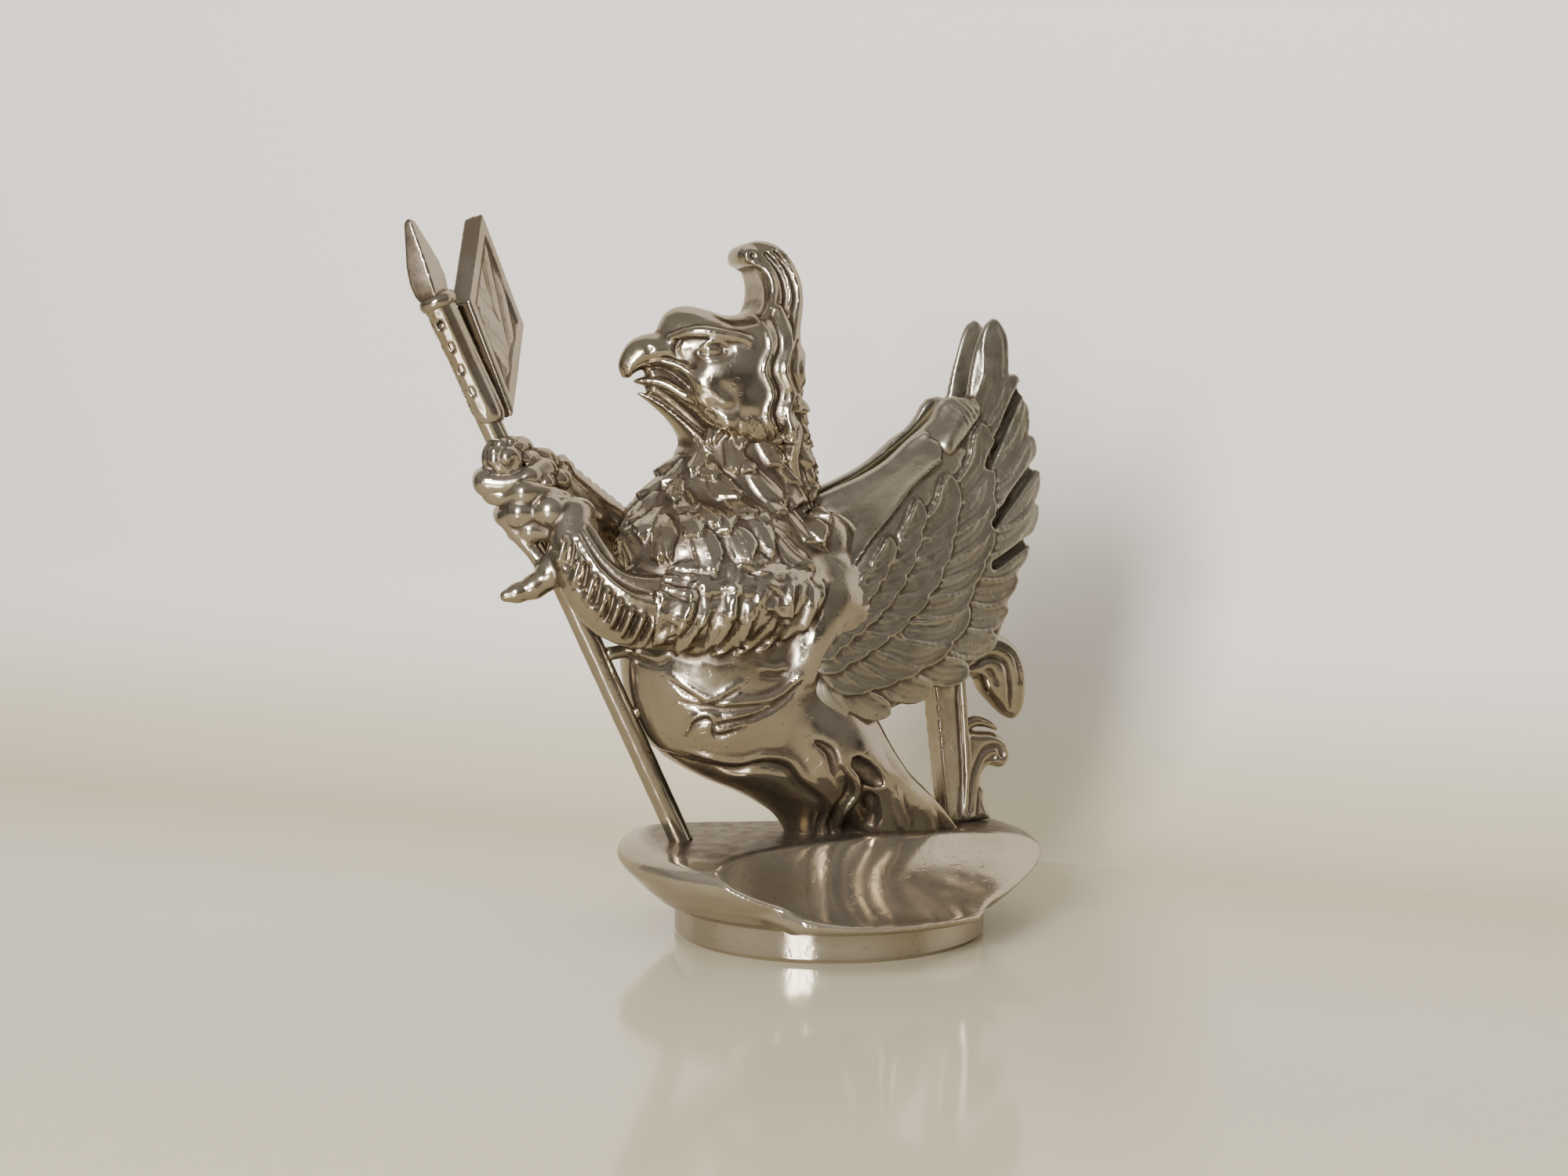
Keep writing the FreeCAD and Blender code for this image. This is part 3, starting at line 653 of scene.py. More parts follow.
def head_form(f):
    """The skull and the open beak, with its tongue."""
    def span(x, z):
        return np.interp(x, [-31, -29, -27, -25, -22.5, -20, -17, -13, -9, -5],
                         [1.3, 2.2, 3.0, 3.7, 4.7, 6.0, 7.4, 7.9, 7.4, 6.0])

    puffed(f, SKULL, span, lambda x, z: np.minimum(span(x, z) * 0.9, 4.4))
    puffed(f, JAW, lambda x, z: 0.95 * np.interp(x, [-29, -26, -23, -19, -14], [0.7, 1.9, 3.6, 6.2, 7.6]),
           lambda x, z: np.interp(x, [-29, -26, -22, -16], [0.6, 1.3, 2.2, 4.0]), 0.3)
    puffed(f, MOUTH, lambda x, z: 0.52 * span(x, z), lambda x, z: 0.5, 0.2)
    puffed(f, MANDIBLE, lambda x, z: np.interp(x, [-29, -27, -24, -20, -17], [0.8, 1.9, 3.7, 6.0, 7.5]),
           lambda x, z: 0.9, 0.12)


def head_features(f, s):
    for path in BEAK_FLUTES:
        f.tube(path, 0.2, carve=True, side=s)
    f.tube(LIP, 0.35, side=s)
    f.ball((-14.2, 6.0 * s, 73.6), (4.6, 2.4, 3.6), 1.5)
    # cheek, eye socket, eye with lids, the heavy brow and the nostril
    f.ball((-18.0, 5.6 * s, 78.2), (3.6, 2.2, 4.4), 1.6, tilt=-28)
    f.ball((-12.0, 5.8 * s, 78.4), (5.4, 2.3, 6.4), 2.4)
    f.ball((-20.2, 8.3 * s, 82.0), (3.1, 2.0, 1.7), 0.6, tilt=-4, carve=True)
    f.ball((-19.5, 5.9 * s, 81.9), (1.55, 1.25, 1.05), 0.12)
    for path in LIDS:
        f.tube(path, 0.15, side=s)
    f.tube(BROW, 0.35, side=s)
    for path, k in BROW_GROOVES:
        f.tube(path, k, carve=True, side=s)
    f.ball((-27.6, 2.9 * s, 82.2), (0.75, 0.5, 0.45), 0.25, tilt=-35, carve=True)


def crest_distance(x, y, z):
    """A broad round-edged band that curls forward."""
    path, edge = smooth_path(CREST_BAND, 5), 1.1
    best = None
    for a, b in zip(path[:-1], path[1:]):
        t, dx, dz = to_segment(x, z, (a[0], a[2]), (b[0], b[2]))
        thick, half = a[3] + t * (b[3] - a[3]), a[1] + t * (b[1] - a[1])
        aside = np.maximum(np.abs(y) - half + edge, 0)
        d = np.sqrt(np.maximum(np.sqrt(dx ** 2 + dz ** 2) - thick + edge, 0) ** 2 + aside ** 2) - edge
        best = d if best is None else np.minimum(best, d)
    return best


def head_field():
    f = Field((-33, -11.5, 64), (-1.5, 11.5, 99.5), 0.27)
    head_form(f)
    for s in SIDES:
        head_features(f, s)
    f.join((-18, -9.5, 76), (-3, 9.5, 99), crest_distance, 1.6)
    f.tube([(-12.9, -2.9, 94.9, 1.25), (-13.2, 0, 95.0, 1.35), (-12.9, 2.9, 94.9, 1.25)], 0.5)
    for s in SIDES:
        f.ball((-12.9, 4.2 * s, 94.9), (0.6, 0.9, 0.6), 0.2, carve=True)
        f.tube(CREST_EDGE, 0.25, side=s)
        for k in range(3):
            o = 1.4 * k
            f.tube([(-9.6 + o, 6.3, 83.5, 0.45), (-9.0 + o, 5.5, 87.0, 0.5), (-8.5 + o, 5.05, 89.8, 0.5),
                    (-9.2 + o * 0.9, 4.4, 92.8 + 0.2 * k, 0.45),
                    (-11.0 + o * 0.8, 3.5, 95.2 + 0.35 * k, 0.35)], 0.3, carve=True, side=s)
        for k in range(4):
            # wavy strands down the neck's back
            y, back = 0.8 + 2.1 * k, -8.1 - 0.30 * k * k
            wave = 0.5 if k % 2 else -0.35
            f.tube([(back + 0.9, y * 0.8, 87.5, 0.8), (back + 0.8 + wave, y * 0.95, 84.0, 1.3),
                    (back + 0.5 - wave, y, 80.8, 1.1), (back + 0.9 + wave, y, 77.5, 1.4),
                    (back + 1.6 - wave, y * 0.98, 74.0, 1.25), (back + 2.2 + wave, y, 70.6, 1.5),
                    (back + 2.8 - wave, y, 67.0, 1.2), (back + 3.4, y, 63.6, 0.6)], 0.35, side=s)
    return f


def head_piece():
    skin = Skin(head_field())
    for s in SIDES:
        # the ruff of feathers where the smooth cheek ends
        for k in range(5):
            skin.feather((-15.5 + 1.9 * k, 9.0 * s, 72.6 + 1.9 * max(k - 2, 0)), (0.25 + 0.1 * k, 0, -1),
                         4.6, 3.0, 0.75, curve=0.35 * s * (1 if k % 2 else -1), barbs=0.07, point=2.2,
                         rim=0.10)
        # hair from the cheek to the nape
        for k in range(5):
            x = -12.8 + 1.55 * k
            skin.groove(s, [(x + 0.4 * k, 86.5 - k), (x + 0.7, 82.4), (x - 0.3, 79.2), (x + 0.8, 76.2),
                            (x + 0.1, 73.2), (x + 1.2, 70.2), (x + 0.8, 67.0)], 0.5 if k % 2 else -0.5, 0.4)
    skin.finish("griffin_head", FIGURE, "head", "crest")


# -------------------- wings
RIDGE = [(-8.9, 40.5), (-8.6, 43.5), (-6.0, 47.4), (-2.6, 51.6), (1.1, 56.3), (4.6, 59.9), (8.4, 63.6),
         (13.2, 66.9)]
PRIMARIES = [  # root, tip, half-width and bow of each long feather, from the leading one down
    ((18.2, 69.5), (24.0, 87.2), 2.3, 0.14), ((18.6, 66.4), (27.3, 79.2), 2.5, 0.12),
    ((18.8, 63.4), (28.6, 75.4), 2.5, 0.12), ((18.6, 60.6), (29.9, 70.4), 2.5, 0.12),
    ((18.2, 57.8), (30.6, 65.4), 2.5, 0.12), ((17.8, 55.0), (30.2, 60.4), 2.5, 0.12),
    ((17.2, 52.0), (28.4, 55.2), 2.5, 0.12), ((16.0, 49.0), (26.2, 50.2), 2.4, 0.12),
    ((14.4, 46.2), (24.4, 45.8), 2.3, 0.12), ((11.4, 43.8), (22.4, 41.4), 2.3, 0.12),
    ((6.6, 40.8), (17.6, 37.2), 2.3, 0.12), ((1.4, 38.8), (11.2, 34.8), 2.1, 0.12),
    ((-3.6, 37.4), (4.4, 32.2), 2.0, 0.12), ((-6.6, 38.0), (-2.4, 31.9), 1.8, 0.12),
]
COVERTS = [  # rows from the flight feathers inward: tip line, count, length, half-width
    ([(21.2, 73.2), (21.2, 65.6), (21.3, 58.4), (18.2, 51.2), (16.3, 44.4), (8.0, 39.4), (-0.6, 36.2)],
     11, 11.0, 2.15),
    ([(15.2, 67.6), (14.6, 62.0), (13.6, 56.0), (10.8, 50.6), (6.8, 46.4), (1.6, 42.4), (-3.6, 39.2)],
     9, 8.4, 1.95),
    ([(9.4, 62.4), (8.4, 57.6), (6.4, 53.0), (3.6, 48.8), (0.4, 45.4), (-3.0, 42.6), (-5.8, 40.2)],
     9, 6.0, 1.6),
    ([(4.8, 58.2), (3.2, 54.2), (1.0, 50.4), (-1.8, 47.0), (-4.4, 44.0), (-7.0, 41.6)],
     8, 4.4, 1.3),
]
SLOTS = [  # gaps between the long feathers: from, to and half-width
    ((27.4, 76.0), (21.9, 66.2), 0.55),
    ((29.8, 65.9), (22.2, 57.9), 0.55),
    ((28.0, 55.2), (22.1, 52.0), 0.5),
]
WING_OUTLINE = [
    (19.0, 74.0), (20.4, 80.0), (21.9, 85.0), (23.3, 86.8), (24.5, 86.0), (25.6, 82.6), (26.4, 79.4),
    (27.2, 77.0), (28.2, 74.2), (29.0, 71.4), (29.5, 68.6), (30.0, 65.2), (30.0, 62.0), (29.3, 58.8),
    (28.2, 56.0), (27.2, 53.0), (26.2, 50.2), (24.8, 47.4), (23.9, 44.6), (22.8, 41.9), (20.8, 39.6),
    (17.2, 37.6), (13.4, 36.2), (10.4, 35.0), (6.9, 33.6), (3.0, 32.3), (-1.2, 32.0), (-4.7, 33.6),
    (-7.2, 36.0), (-8.4, 39.0), (-7.6, 43.5), (-5.0, 47.4), (-1.6, 51.6), (2.1, 56.3), (5.6, 59.9),
    (9.4, 63.6), (14.0, 67.0),
]
WING_SPINE = [  # height, then x and depth at the inner edge, the ridge, the middle and the rear edge
    (31, (-4, 12.6), (-1, 13.4), (2, 13.2), (5, 12.6)),
    (36, (-8, 12.8), (-5, 14.0), (5, 13.0), (14.5, 10.8)),
    (41, (-10, 12.6), (-7.4, 14.4), (9, 12.4), (22.6, 9.2)),
    (48, (-7, 11.0), (-3.6, 13.8), (11, 11.6), (24, 8.4)),
    (54.7, (-3.6, 8.0), (0.6, 12.6), (15, 10.2), (28.9, 7.0)),
    (60.5, (-3.4, 4.8), (5.2, 10.8), (18, 8.8), (30.7, 6.0)),
    (65, (5.2, 4.4), (10.2, 9.0), (20, 7.2), (31, 5.4)),
    (70.5, (13.2, 4.2), (15, 6.6), (22, 6.0), (30.2, 4.9)),
    (76, (18, 4.2), (18.8, 4.8), (23, 4.9), (28, 4.6)),
    (82, (21, 4.0), (21.6, 4.4), (24, 4.5), (26.8, 4.3)),
    (88, (22.4, 3.9), (22.7, 4.1), (23.4, 4.1), (24.2, 4.0)),
]
STEP = 0.2  # of the wing's grid


def leaf(x, z, root, tip, half, bow=0.12):
    """A feather in the XZ plane: distance to its edge (negative inside), place along it and across it."""
    r, t = np.array(root, float), np.array(tip, float)
    run = t - r
    side = np.array([-run[1], run[0]])
    line = smooth_path([r, r + run * 0.5 + side * -bow, t], 8)
    seg = np.diff(line, axis=0)
    lengths = np.linalg.norm(seg, axis=1)
    start = np.concatenate([[0], np.cumsum(lengths)])
    best = np.full(np.broadcast(x, z).shape, 1e9)
    along, across = np.zeros_like(best), np.zeros_like(best)
    for i, e in enumerate(seg):
        u, dx, dz = to_segment(x, z, line[i], line[i + 1])
        d = np.sqrt(dx * dx + dz * dz)
        closer = d < best
        best = np.where(closer, d, best)
        along = np.where(closer, start[i] + u * lengths[i], along)
        across = np.where(closer, d * np.sign(dx * -e[1] + dz * e[0]), across)
    t = along / start[-1]
    blunt = min(2.1 * half / start[-1], 0.55)
    tip_round = np.clip(1 - (np.clip(t - 1.0 + blunt, 0, 1) / blunt) ** 2.2, 0.0, 1) ** 0.62
    width = half * tip_round * (0.7 + 0.3 * np.clip(t * 2.2, 0, 1))
    return best - width, t, across


# outlines in the side view: the arm with what lies under the coverts, the arm's front, and the wrist's pad
WING_ARM = [(-9.8, 41.0), (-8.8, 45.0), (-7.2, 50.0), (-6.8, 56.0), (-5.4, 60.6), (-1.0, 62.8), (3.3, 64.6),
            (7.1, 66.7), (10.6, 69.6), (14.0, 72.4), (16.6, 75.4), (19.4, 75.6), (20.8, 73.0), (18.0, 67.0),
            (10.0, 60.0), (4.0, 52.0), (0.0, 42.0), (-4.0, 36.0), (-8.4, 37.6)]
ARM_FRONT = [(13.6, 68.4), (13.2, 70.6), (10.2, 69.4), (7.1, 67.2), (3.3, 65.2), (-1, 63.4), (-6.5, 61.6),
             (-10.5, 55), (-11, 46), (-10.4, 40)]
WRIST_PAD = [(13.0, 70.2), (14.6, 73.2), (16.2, 75.6), (18.4, 76.0), (20.6, 75.4), (21.0, 73.4),
             (18.6, 70.6), (15.2, 67.8)]


def wing_depth(xs, zs):
    """How far from the middle plane the wing's outer face lies, over the grid."""
    heights = [row[0] for row in WING_SPINE]
    strips = np.array([[c for point in row[1:] for c in point] for row in WING_SPINE], float)
    cols = [np.interp(zs, heights, strips[:, i]) for i in range(8)]
    deep = np.empty((len(xs), len(zs)))
    for j in range(len(zs)):
        px = np.maximum.accumulate([cols[2 * i][j] + 0.01 * i for i in range(4)])
        deep[:, j] = np.interp(xs, px, [cols[2 * i + 1][j] for i in range(4)])
    for _ in range(26):
        deep = (deep + np.roll(deep, 1, 0) + np.roll(deep, -1, 0)
                + np.roll(deep, 1, 1) + np.roll(deep, -1, 1)) / 5
    return deep


class WingFace:
    """The relief of a wing's outer face and the distance to its outline, over a grid in the XZ plane."""

    def __init__(self):
        self.xs, self.zs = np.arange(-12, 33.5, STEP), np.arange(29, 90, STEP)
        self.x, self.z = self.xs[:, None], self.zs[None, :]
        self.deep = wing_depth(self.xs, self.zs)
        self.region = outline_distance(self.x, self.z, closed_smooth(WING_ARM))
        self.level = np.where(self.region < 0, 0.2, -9.0)

    def lay(self, root, tip, half, base, bow):
        """One feather over those already there: a thin raised edge and a shallow vane combed lengthwise."""
        d, t, across = leaf(self.x, self.z, root, tip, half, bow)
        self.region = np.minimum(self.region, d)
        rise = base + 0.42 * np.clip(t, 0, 1)
        rim = 0.17 * np.exp(-((d + 0.26) / 0.22) ** 2)
        dish = -0.10 * np.clip(-d / 1.2, 0, 1)
        lines = np.cos(across * 6.6 / max(half / 2.2, 0.6) + 3.1 * tip[0])
        comb = 0.045 * lines * np.clip(-d / 0.5, 0, 1) * np.clip(1.2 - t, 0, 1)
        shaft = 0.07 * np.exp(-((across - 0.15 * half) / 0.2) ** 2) * np.clip(4 * (0.8 - t), 0, 1)
        self.level = np.where(d < 0, rise + rim + dish + comb + shaft, self.level)

    def lay_coverts(self, row, line, count, length, half):
        """A row of short feathers with their tips spread evenly along the line."""
        path = smooth_path(line, 8)
        dist = np.concatenate([[0], np.cumsum(np.linalg.norm(np.diff(path, axis=0), axis=1))])
        for k in reversed(range(count)):
            u = (k + 0.25 + 0.4 * (row % 2)) / count
            tip = np.array([np.interp(u * dist[-1], dist, path[:, i]) for i in (0, 1)])
            slope = np.interp(u, [0, 0.2, 0.45, 0.7, 1.0], [66, 50, 27, 2, -24]) * DEG
            jitter = 1 + 0.08 * math.sin(7.3 * k + 2.1 * row)
            root = tip - length * jitter * np.array([math.cos(slope), math.sin(slope)])
            self.lay(root, tip, half * jitter, 0.24 + 0.13 * row, 0.16)

    def lay_arm(self):
        """The smooth arm in front of the ridge, its edge band, and the ribbed pad at the wrist."""
        ridge = smooth_path(RIDGE, 6)
        to_ridge = np.full(self.region.shape, 1e9)
        for a, b in zip(ridge[:-1], ridge[1:]):
            to_ridge = np.minimum(to_ridge, np.hypot(*to_segment(self.x, self.z, a, b)[1:]))
        front = outline_distance(self.x, self.z, np.vstack([ridge, smooth_path(ARM_FRONT, 4)]))
        self.level = np.where(front < 0.25, 1.05 - 1.25 * np.clip(-front / 3.6, 0, 1) ** 0.7, self.level)
        self.level += 0.50 * np.exp(-(to_ridge / 0.40) ** 2)
        padded = outline_distance(self.x, self.z, closed_smooth(WRIST_PAD))
        self.region = np.minimum(self.region, padded)
        lines = np.sin((self.x * 0.80 + self.z * 0.60) * 8.0)
        ribs = 0.12 * lines * np.clip((self.z + self.x * 0.9 - 88.0) * 0.8, 0, 1)
        dome = 0.95 * np.sqrt(np.clip(-padded / 2.4, 0, 1))
        self.level = np.where(padded < 0, 0.25 + dome + ribs, self.level)


def wing_relief():
    w = WingFace()
    for root, tip, half, bow in reversed(PRIMARIES):
        w.lay(root, tip, half, 0.0, bow)
    # the feathers close up into one sheet inside the wing's outline
    sheet = outline_distance(w.x, w.z, closed_smooth(WING_OUTLINE, 3))
    w.region = np.minimum(w.region, sheet)
    w.level = np.where((sheet < 0) & (w.level < -1), 0.05, w.level)
    for row, (line, count, length, half) in enumerate(COVERTS):
        w.lay_coverts(row, line, count, length, half)
    w.lay_arm()
    for a, b, r in SLOTS:
        away = np.hypot(*to_segment(w.x, w.z, a, b, -0.15)[1:])
        w.level -= 1.5 * np.clip((r + 0.15 - away) / 0.2, 0, 1)
    w.level = np.clip(w.level, -1.4, 2.4)
    return w


def wing_piece(side, name, node, face):
    f = Field((-11.5, -18.5, 30), (32.5, -1.6, 89.3), 0.23)
    y = f.grid()[1]
    i = np.clip((f.axes[0] - face.xs[0]) / STEP, 0, len(face.xs) - 2)
    j = np.clip((f.axes[2] - face.zs[0]) / STEP, 0, len(face.zs) - 2)
    i0, j0 = i.astype(int), j.astype(int)
    fi, fj = (i - i0)[:, None], (j - j0)[None, :]

    def sample(g):
        """The face's grid read between its points, at the field's places."""
        return ((g[i0][:, j0] * (1 - fi) + g[i0 + 1][:, j0] * fi) * (1 - fj)
                + (g[i0][:, j0 + 1] * (1 - fi) + g[i0 + 1][:, j0 + 1] * fi) * fj)

    rim, outer, lift = sample(face.region), sample(face.deep), sample(face.level)
    thick = np.interp(f.axes[2], [30, 44, 60, 74, 88], [3.2, 3.2, 3.0, 2.6, 1.7])[None, :]
    thinned = 0.55 * (1 - np.sqrt(np.clip(-rim / 1.6, 0.0, 1)))[:, None, :]
    front = (outer + lift - 0.5)[:, None, :] - thinned
    back = (outer - thick)[:, None, :] + thinned
    slab = np.maximum(-y - front, back + y)
    f.f[:] = -smooth_min(-slab, -rim[:, None, :], 0.5)
    skin = Skin(f)
    if side > 0:
        skin.p[:, 1] *= -1
        skin.quads = skin.quads[:, ::-1].copy()
        skin.n = vertex_normals(skin.p, skin.quads)
    skin.finish(name, WING, node)


# -------------------- forelegs with claws round the staff
STAFF_FOOT = np.array([-22.3, 0.0, 14.4])
STAFF_AXIS = np.array([-math.sin(24.6 * DEG), 0.0, math.cos(24.6 * DEG)])
STAFF_R = 1.6


def on_staff(s, angle=0, radius=0):
    """A point at distance s up the staff, at an angle round it (0 to the figure's front, 90 to its right)."""
    u = np.array([-STAFF_AXIS[2], 0, STAFF_AXIS[0]])
    v = np.array([0.0, 1.0, 0.0])
    return STAFF_FOOT + STAFF_AXIS * s + radius * (math.cos(angle * DEG) * u + math.sin(angle * DEG) * v)


def bore_for_staff(f, low, high, k):
    """Clears the staff's way from one height on it to another."""
    radius = STAFF_R + 0.02
    f.tube([(*on_staff(low), radius), (*on_staff(high), radius)], k, 1, carve=True)


def scaly_top(skin, path):
    """Transverse scales along the top of the far forearm."""
    line = smooth_path(path, 12)
    best, where = np.full(len(skin.p), 1e9), np.zeros(len(skin.p))
    total = 0.0
    for a, b in zip(line[:-1], line[1:]):
        ab = b - a
        t = np.clip((skin.p - a) @ ab / (ab @ ab), 0, 1)
        d = np.linalg.norm(skin.p - (a + t[:, None] * ab), axis=1)
        where = np.where(d < best, total + t * np.linalg.norm(ab), where)
        best = np.minimum(best, d)
        total += np.linalg.norm(ab)
    top = skin.n[:, 2] * 0.6 + skin.n[:, 1] * 0.5 + skin.n[:, 0] * 0.35
    on_arm = (best < 4.6) & (where > total * 0.12) & (where < total * 0.93)
    saw = 1 - np.abs(np.mod(where / 1.7 + 0.4 * top, 1.0) * 2 - 1)
    lane = np.clip(top * 3.0 - 1.0, 0, 1) * np.clip(where / total * 4 - 0.8, 0, 1)
    skin.h += np.where(on_arm, 0.25 * np.clip(saw * 2.0 - 0.6, 0, 1) * lane, 0)


def toe(f, points, knuckles, swell):
    """A toe through (x, y, z, radius) points, swollen at the numbered ones."""
    f.tube(points, 0.4)
    for i in knuckles:
        f.ball(points[i][:3], points[i][3] * swell, 0.3)


# limbs and knuckles are (x, y, z, radius), the wrist's swellings a centre, radii and softness
NEAR_ARM = [(-16.0, -11.0, 48.4, 5.4), (-25.0, -10.6, 47.4, 5.4), (-32.6, -9.6, 47.6, 5.0),
            (-36.6, -8.2, 50.6, 4.4), (-38.6, -6.8, 54.8, 3.7), (-39.0, -5.6, 58.6, 3.0)]
NEAR_WRIST = [((-38.3, -5.4, 60.0), (2.5, 2.3, 2.3), 0.5), ((-40.3, -5.0, 60.9), (1.8, 1.8, 1.7), 0.35),
              ((-37.6, -5.2, 57.8), (2.3, 2.6, 2.3), 0.5), ((-41.4, -2.6, 59.4), (2.6, 2.2, 2.6), 0.8)]
NEAR_TOES = [  # path, swollen knuckles and their swelling
    # three toes over the staff, with their talons turned under it
    ([(-39.6, -5.0, 60.4, 1.7), (-41.8, -5.1, 60.5, 2.0), (-43.6, -4.3, 60.1, 1.5), (-45.4, -3.2, 60.2, 1.9),
      (-47.1, -1.2, 59.6, 1.4), (-46.8, 1.4, 60.3, 1.1), (-45.0, 2.8, 61.0, 0.7)], (1, 3), 1.18),
    ([(-40.2, -4.2, 61.8, 1.5), (-42.6, -4.0, 62.7, 1.4), (-45.0, -3.6, 62.9, 1.8), (-47.0, -2.4, 62.3, 1.3),
      (-48.3, -0.8, 63.0, 1.7), (-47.9, 1.4, 63.6, 1.0)], (2, 4), 1.12),
    ([(-39.8, -4.8, 58.2, 1.7), (-42.0, -4.4, 57.7, 1.3), (-44.0, -3.4, 57.9, 1.6), (-45.6, -1.2, 57.4, 1.2),
      (-45.4, 1.4, 58.0, 0.9)], (2,), 1.2),
    # the long toe down the front of the staff, and the spur with its talon
    ([(-47.0, -2.0, 59.4, 1.3), (-45.6, -2.9, 57.2, 1.15), (-43.8, -3.7, 54.9, 1.05),
      (-42.4, -4.6, 52.6, 1.2)], (), 1),
    ([(-39.6, -5.6, 58.4, 2.1), (-40.5, -5.8, 55.2, 2.0), (-41.9, -5.6, 52.3, 1.9), (-44.2, -5.3, 50.5, 1.55),
      (-46.4, -5.0, 49.7, 1.25), (-47.9, -4.8, 49.3, 0.85)], (2, 3, 4), 1.12),
]
SCALE_LANE = [(-41.9, 56.4), (-40.4, 53.4), (-38.6, 50.5), (-36.8, 48.3), (-34.8, 46.3), (-31.0, 44.2)]


def left_foreleg_piece():
    f = Field((-54, -17, 40), (-14, 7, 68), 0.27)
    f.tube(NEAR_ARM, 0.6)
    for centre, radii, k in NEAR_WRIST:
        f.ball(centre, radii, k)
    for path, knuckles, swell in NEAR_TOES:
        toe(f, path, knuckles, swell)
    bore_for_staff(f, 35, 62, 0.1)
    skin = Skin(f)
    # a lane of slanted scales down the side of the forearm, then lengthwise folds above it
    for x in np.linspace(-41.2, -31.2, 8):
        z = float(np.interp(x, *zip(*SCALE_LANE)))
        skin.groove(-1, [(x + 0.5, z + 2.1), (x, z + 0.3), (x - 0.5, z - 1.5)], -0.8, 0.42)
        skin.groove(-1, [(x + 1.2, z + 1.5), (x + 0.7, z - 0.3), (x + 0.2, z - 2.0)], 0.8, 0.34)
    for k in range(5):
        rise = 1.9 * k
        skin.groove(-1, [(-39.4 + 0.5 * k, 57.4 + 0.3 * k), (-37.0 + 0.4 * k, 52.8 + rise * 0.35),
                         (-32.8, 49.2 + rise * 0.65), (-26.0, 47.6 + rise)], 0.28 if k % 2 else -0.35, 0.5)
    skin.finish("left_foreleg_claw", FIGURE, "left_foreleg")


FAR_ARM = [(-16.0, 11.0, 51.2, 4.6), (-24.0, 9.8, 54.0, 4.4), (-29.5, 7.6, 56.8, 3.9),
           (-34.0, 5.2, 60.0, 3.6), (-38.4, 3.2, 63.4, 3.3), (-42.0, 1.8, 66.0, 2.8)]
FAR_KNUCKLES = [(-38.7, 2.4, 65.5, 2.2), (-36.4, 3.8, 63.0, 2.2), (-34.0, 5.2, 60.6, 2.1),
                (-41.2, 0.8, 66.9, 1.9), (-39.6, -1.6, 64.4, 1.6), (-41.9, -3.4, 64.1, 1.3),
                (-43.6, -1.4, 67.0, 1.5), (-42.6, -1.6, 65.4, 1.9), (-44.4, 1.2, 68.4, 2.0)]
FAR_TOE = [(-41.8, -2.0, 65.8, 1.7), (-44.2, -3.2, 64.9, 1.4), (-46.8, -2.6, 64.0, 1.5),
           (-49.2, -0.8, 64.2, 1.8), (-49.4, 1.8, 65.0, 1.2), (-47.4, 3.2, 66.0, 0.8)]
# the centre of the curled-up toe
CURL = np.array([-47.0, -2.2, 67.4])


def right_foreleg_piece():
    f = Field((-54, -7, 46), (-14, 17, 76), 0.27)
    f.tube(FAR_ARM, 0.6)
    for *centre, radius in FAR_KNUCKLES:
        f.ball(centre, radius, 0.35)
    toe(f, FAR_TOE, (1, 3), 1.15)
    # the uppermost toe is curled up like a shell on the near side of the staff
    for turn in range(15):
        a, r = turn * 38 * DEG, 2.5 - 0.155 * turn
        f.ball(CURL + np.array([r * math.cos(a), -0.09 * turn, r * math.sin(a)]), 0.95, 0.15)
    f.ball(CURL + np.array([0, 1.2, 0]), (3.2, 1.6, 3.2), 0.2)
    bore_for_staff(f, 45, 72, 0.1)
    skin = Skin(f)
    scaly_top(skin, [point[:3] for point in FAR_ARM[1:]])
    skin.finish("right_foreleg_claw", FIGURE, "right_foreleg")


# -------------------- tail
TASSEL = [(19.0, 38.0), (21.6, 40.6), (25.4, 41.6), (28.4, 40.2), (30.1, 37.4), (30.7, 34.0), (30.3, 30.6),
          (29.0, 28.9), (27.4, 29.4), (25.4, 31.2), (23.6, 33.2), (22.6, 35.2), (20.8, 35.4), (19.2, 36.0)]
TUFT = [(19.8, 14.2), (20.2, 21.0), (20.6, 27.2), (22.8, 27.4), (25.8, 27.0), (27.7, 25.4), (28.1, 23.3),
        (27.0, 21.8), (25.4, 22.1), (24.4, 22.0), (23.4, 20.4), (24.1, 18.8), (24.0, 17.4), (25.0, 14.2)]
TAIL_FLUTES = [  # three in the tassel, two in the tuft
    [(20.5, 3.0, 36.8, 0.5), (23.6, 3.3, 38.4, 0.6), (26.4, 3.3, 37.4, 0.6), (27.4, 3.1, 34.0, 0.7),
     (27.6, 2.6, 30.4, 0.6)],
    [(21.0, 3.0, 38.8, 0.4), (25.0, 3.2, 40.2, 0.45), (28.0, 3.2, 38.4, 0.45), (29.0, 3.1, 34.6, 0.45)],
    [(22.2, 3.1, 35.6, 0.5), (24.0, 3.3, 36.4, 0.55), (25.2, 3.1, 34.6, 0.5)],
    [(21.2, 2.3, 16.0, 0.4), (21.8, 2.4, 21.0, 0.5), (23.4, 2.3, 24.6, 0.5), (25.6, 2.2, 25.2, 0.45),
     (26.6, 2.0, 23.8, 0.4)],
    [(22.6, 2.2, 15.2, 0.35), (22.8, 2.3, 19.0, 0.4), (23.6, 2.2, 22.4, 0.4), (25.2, 2.0, 23.6, 0.35)],
]
TAIL_FOOT = 14.0


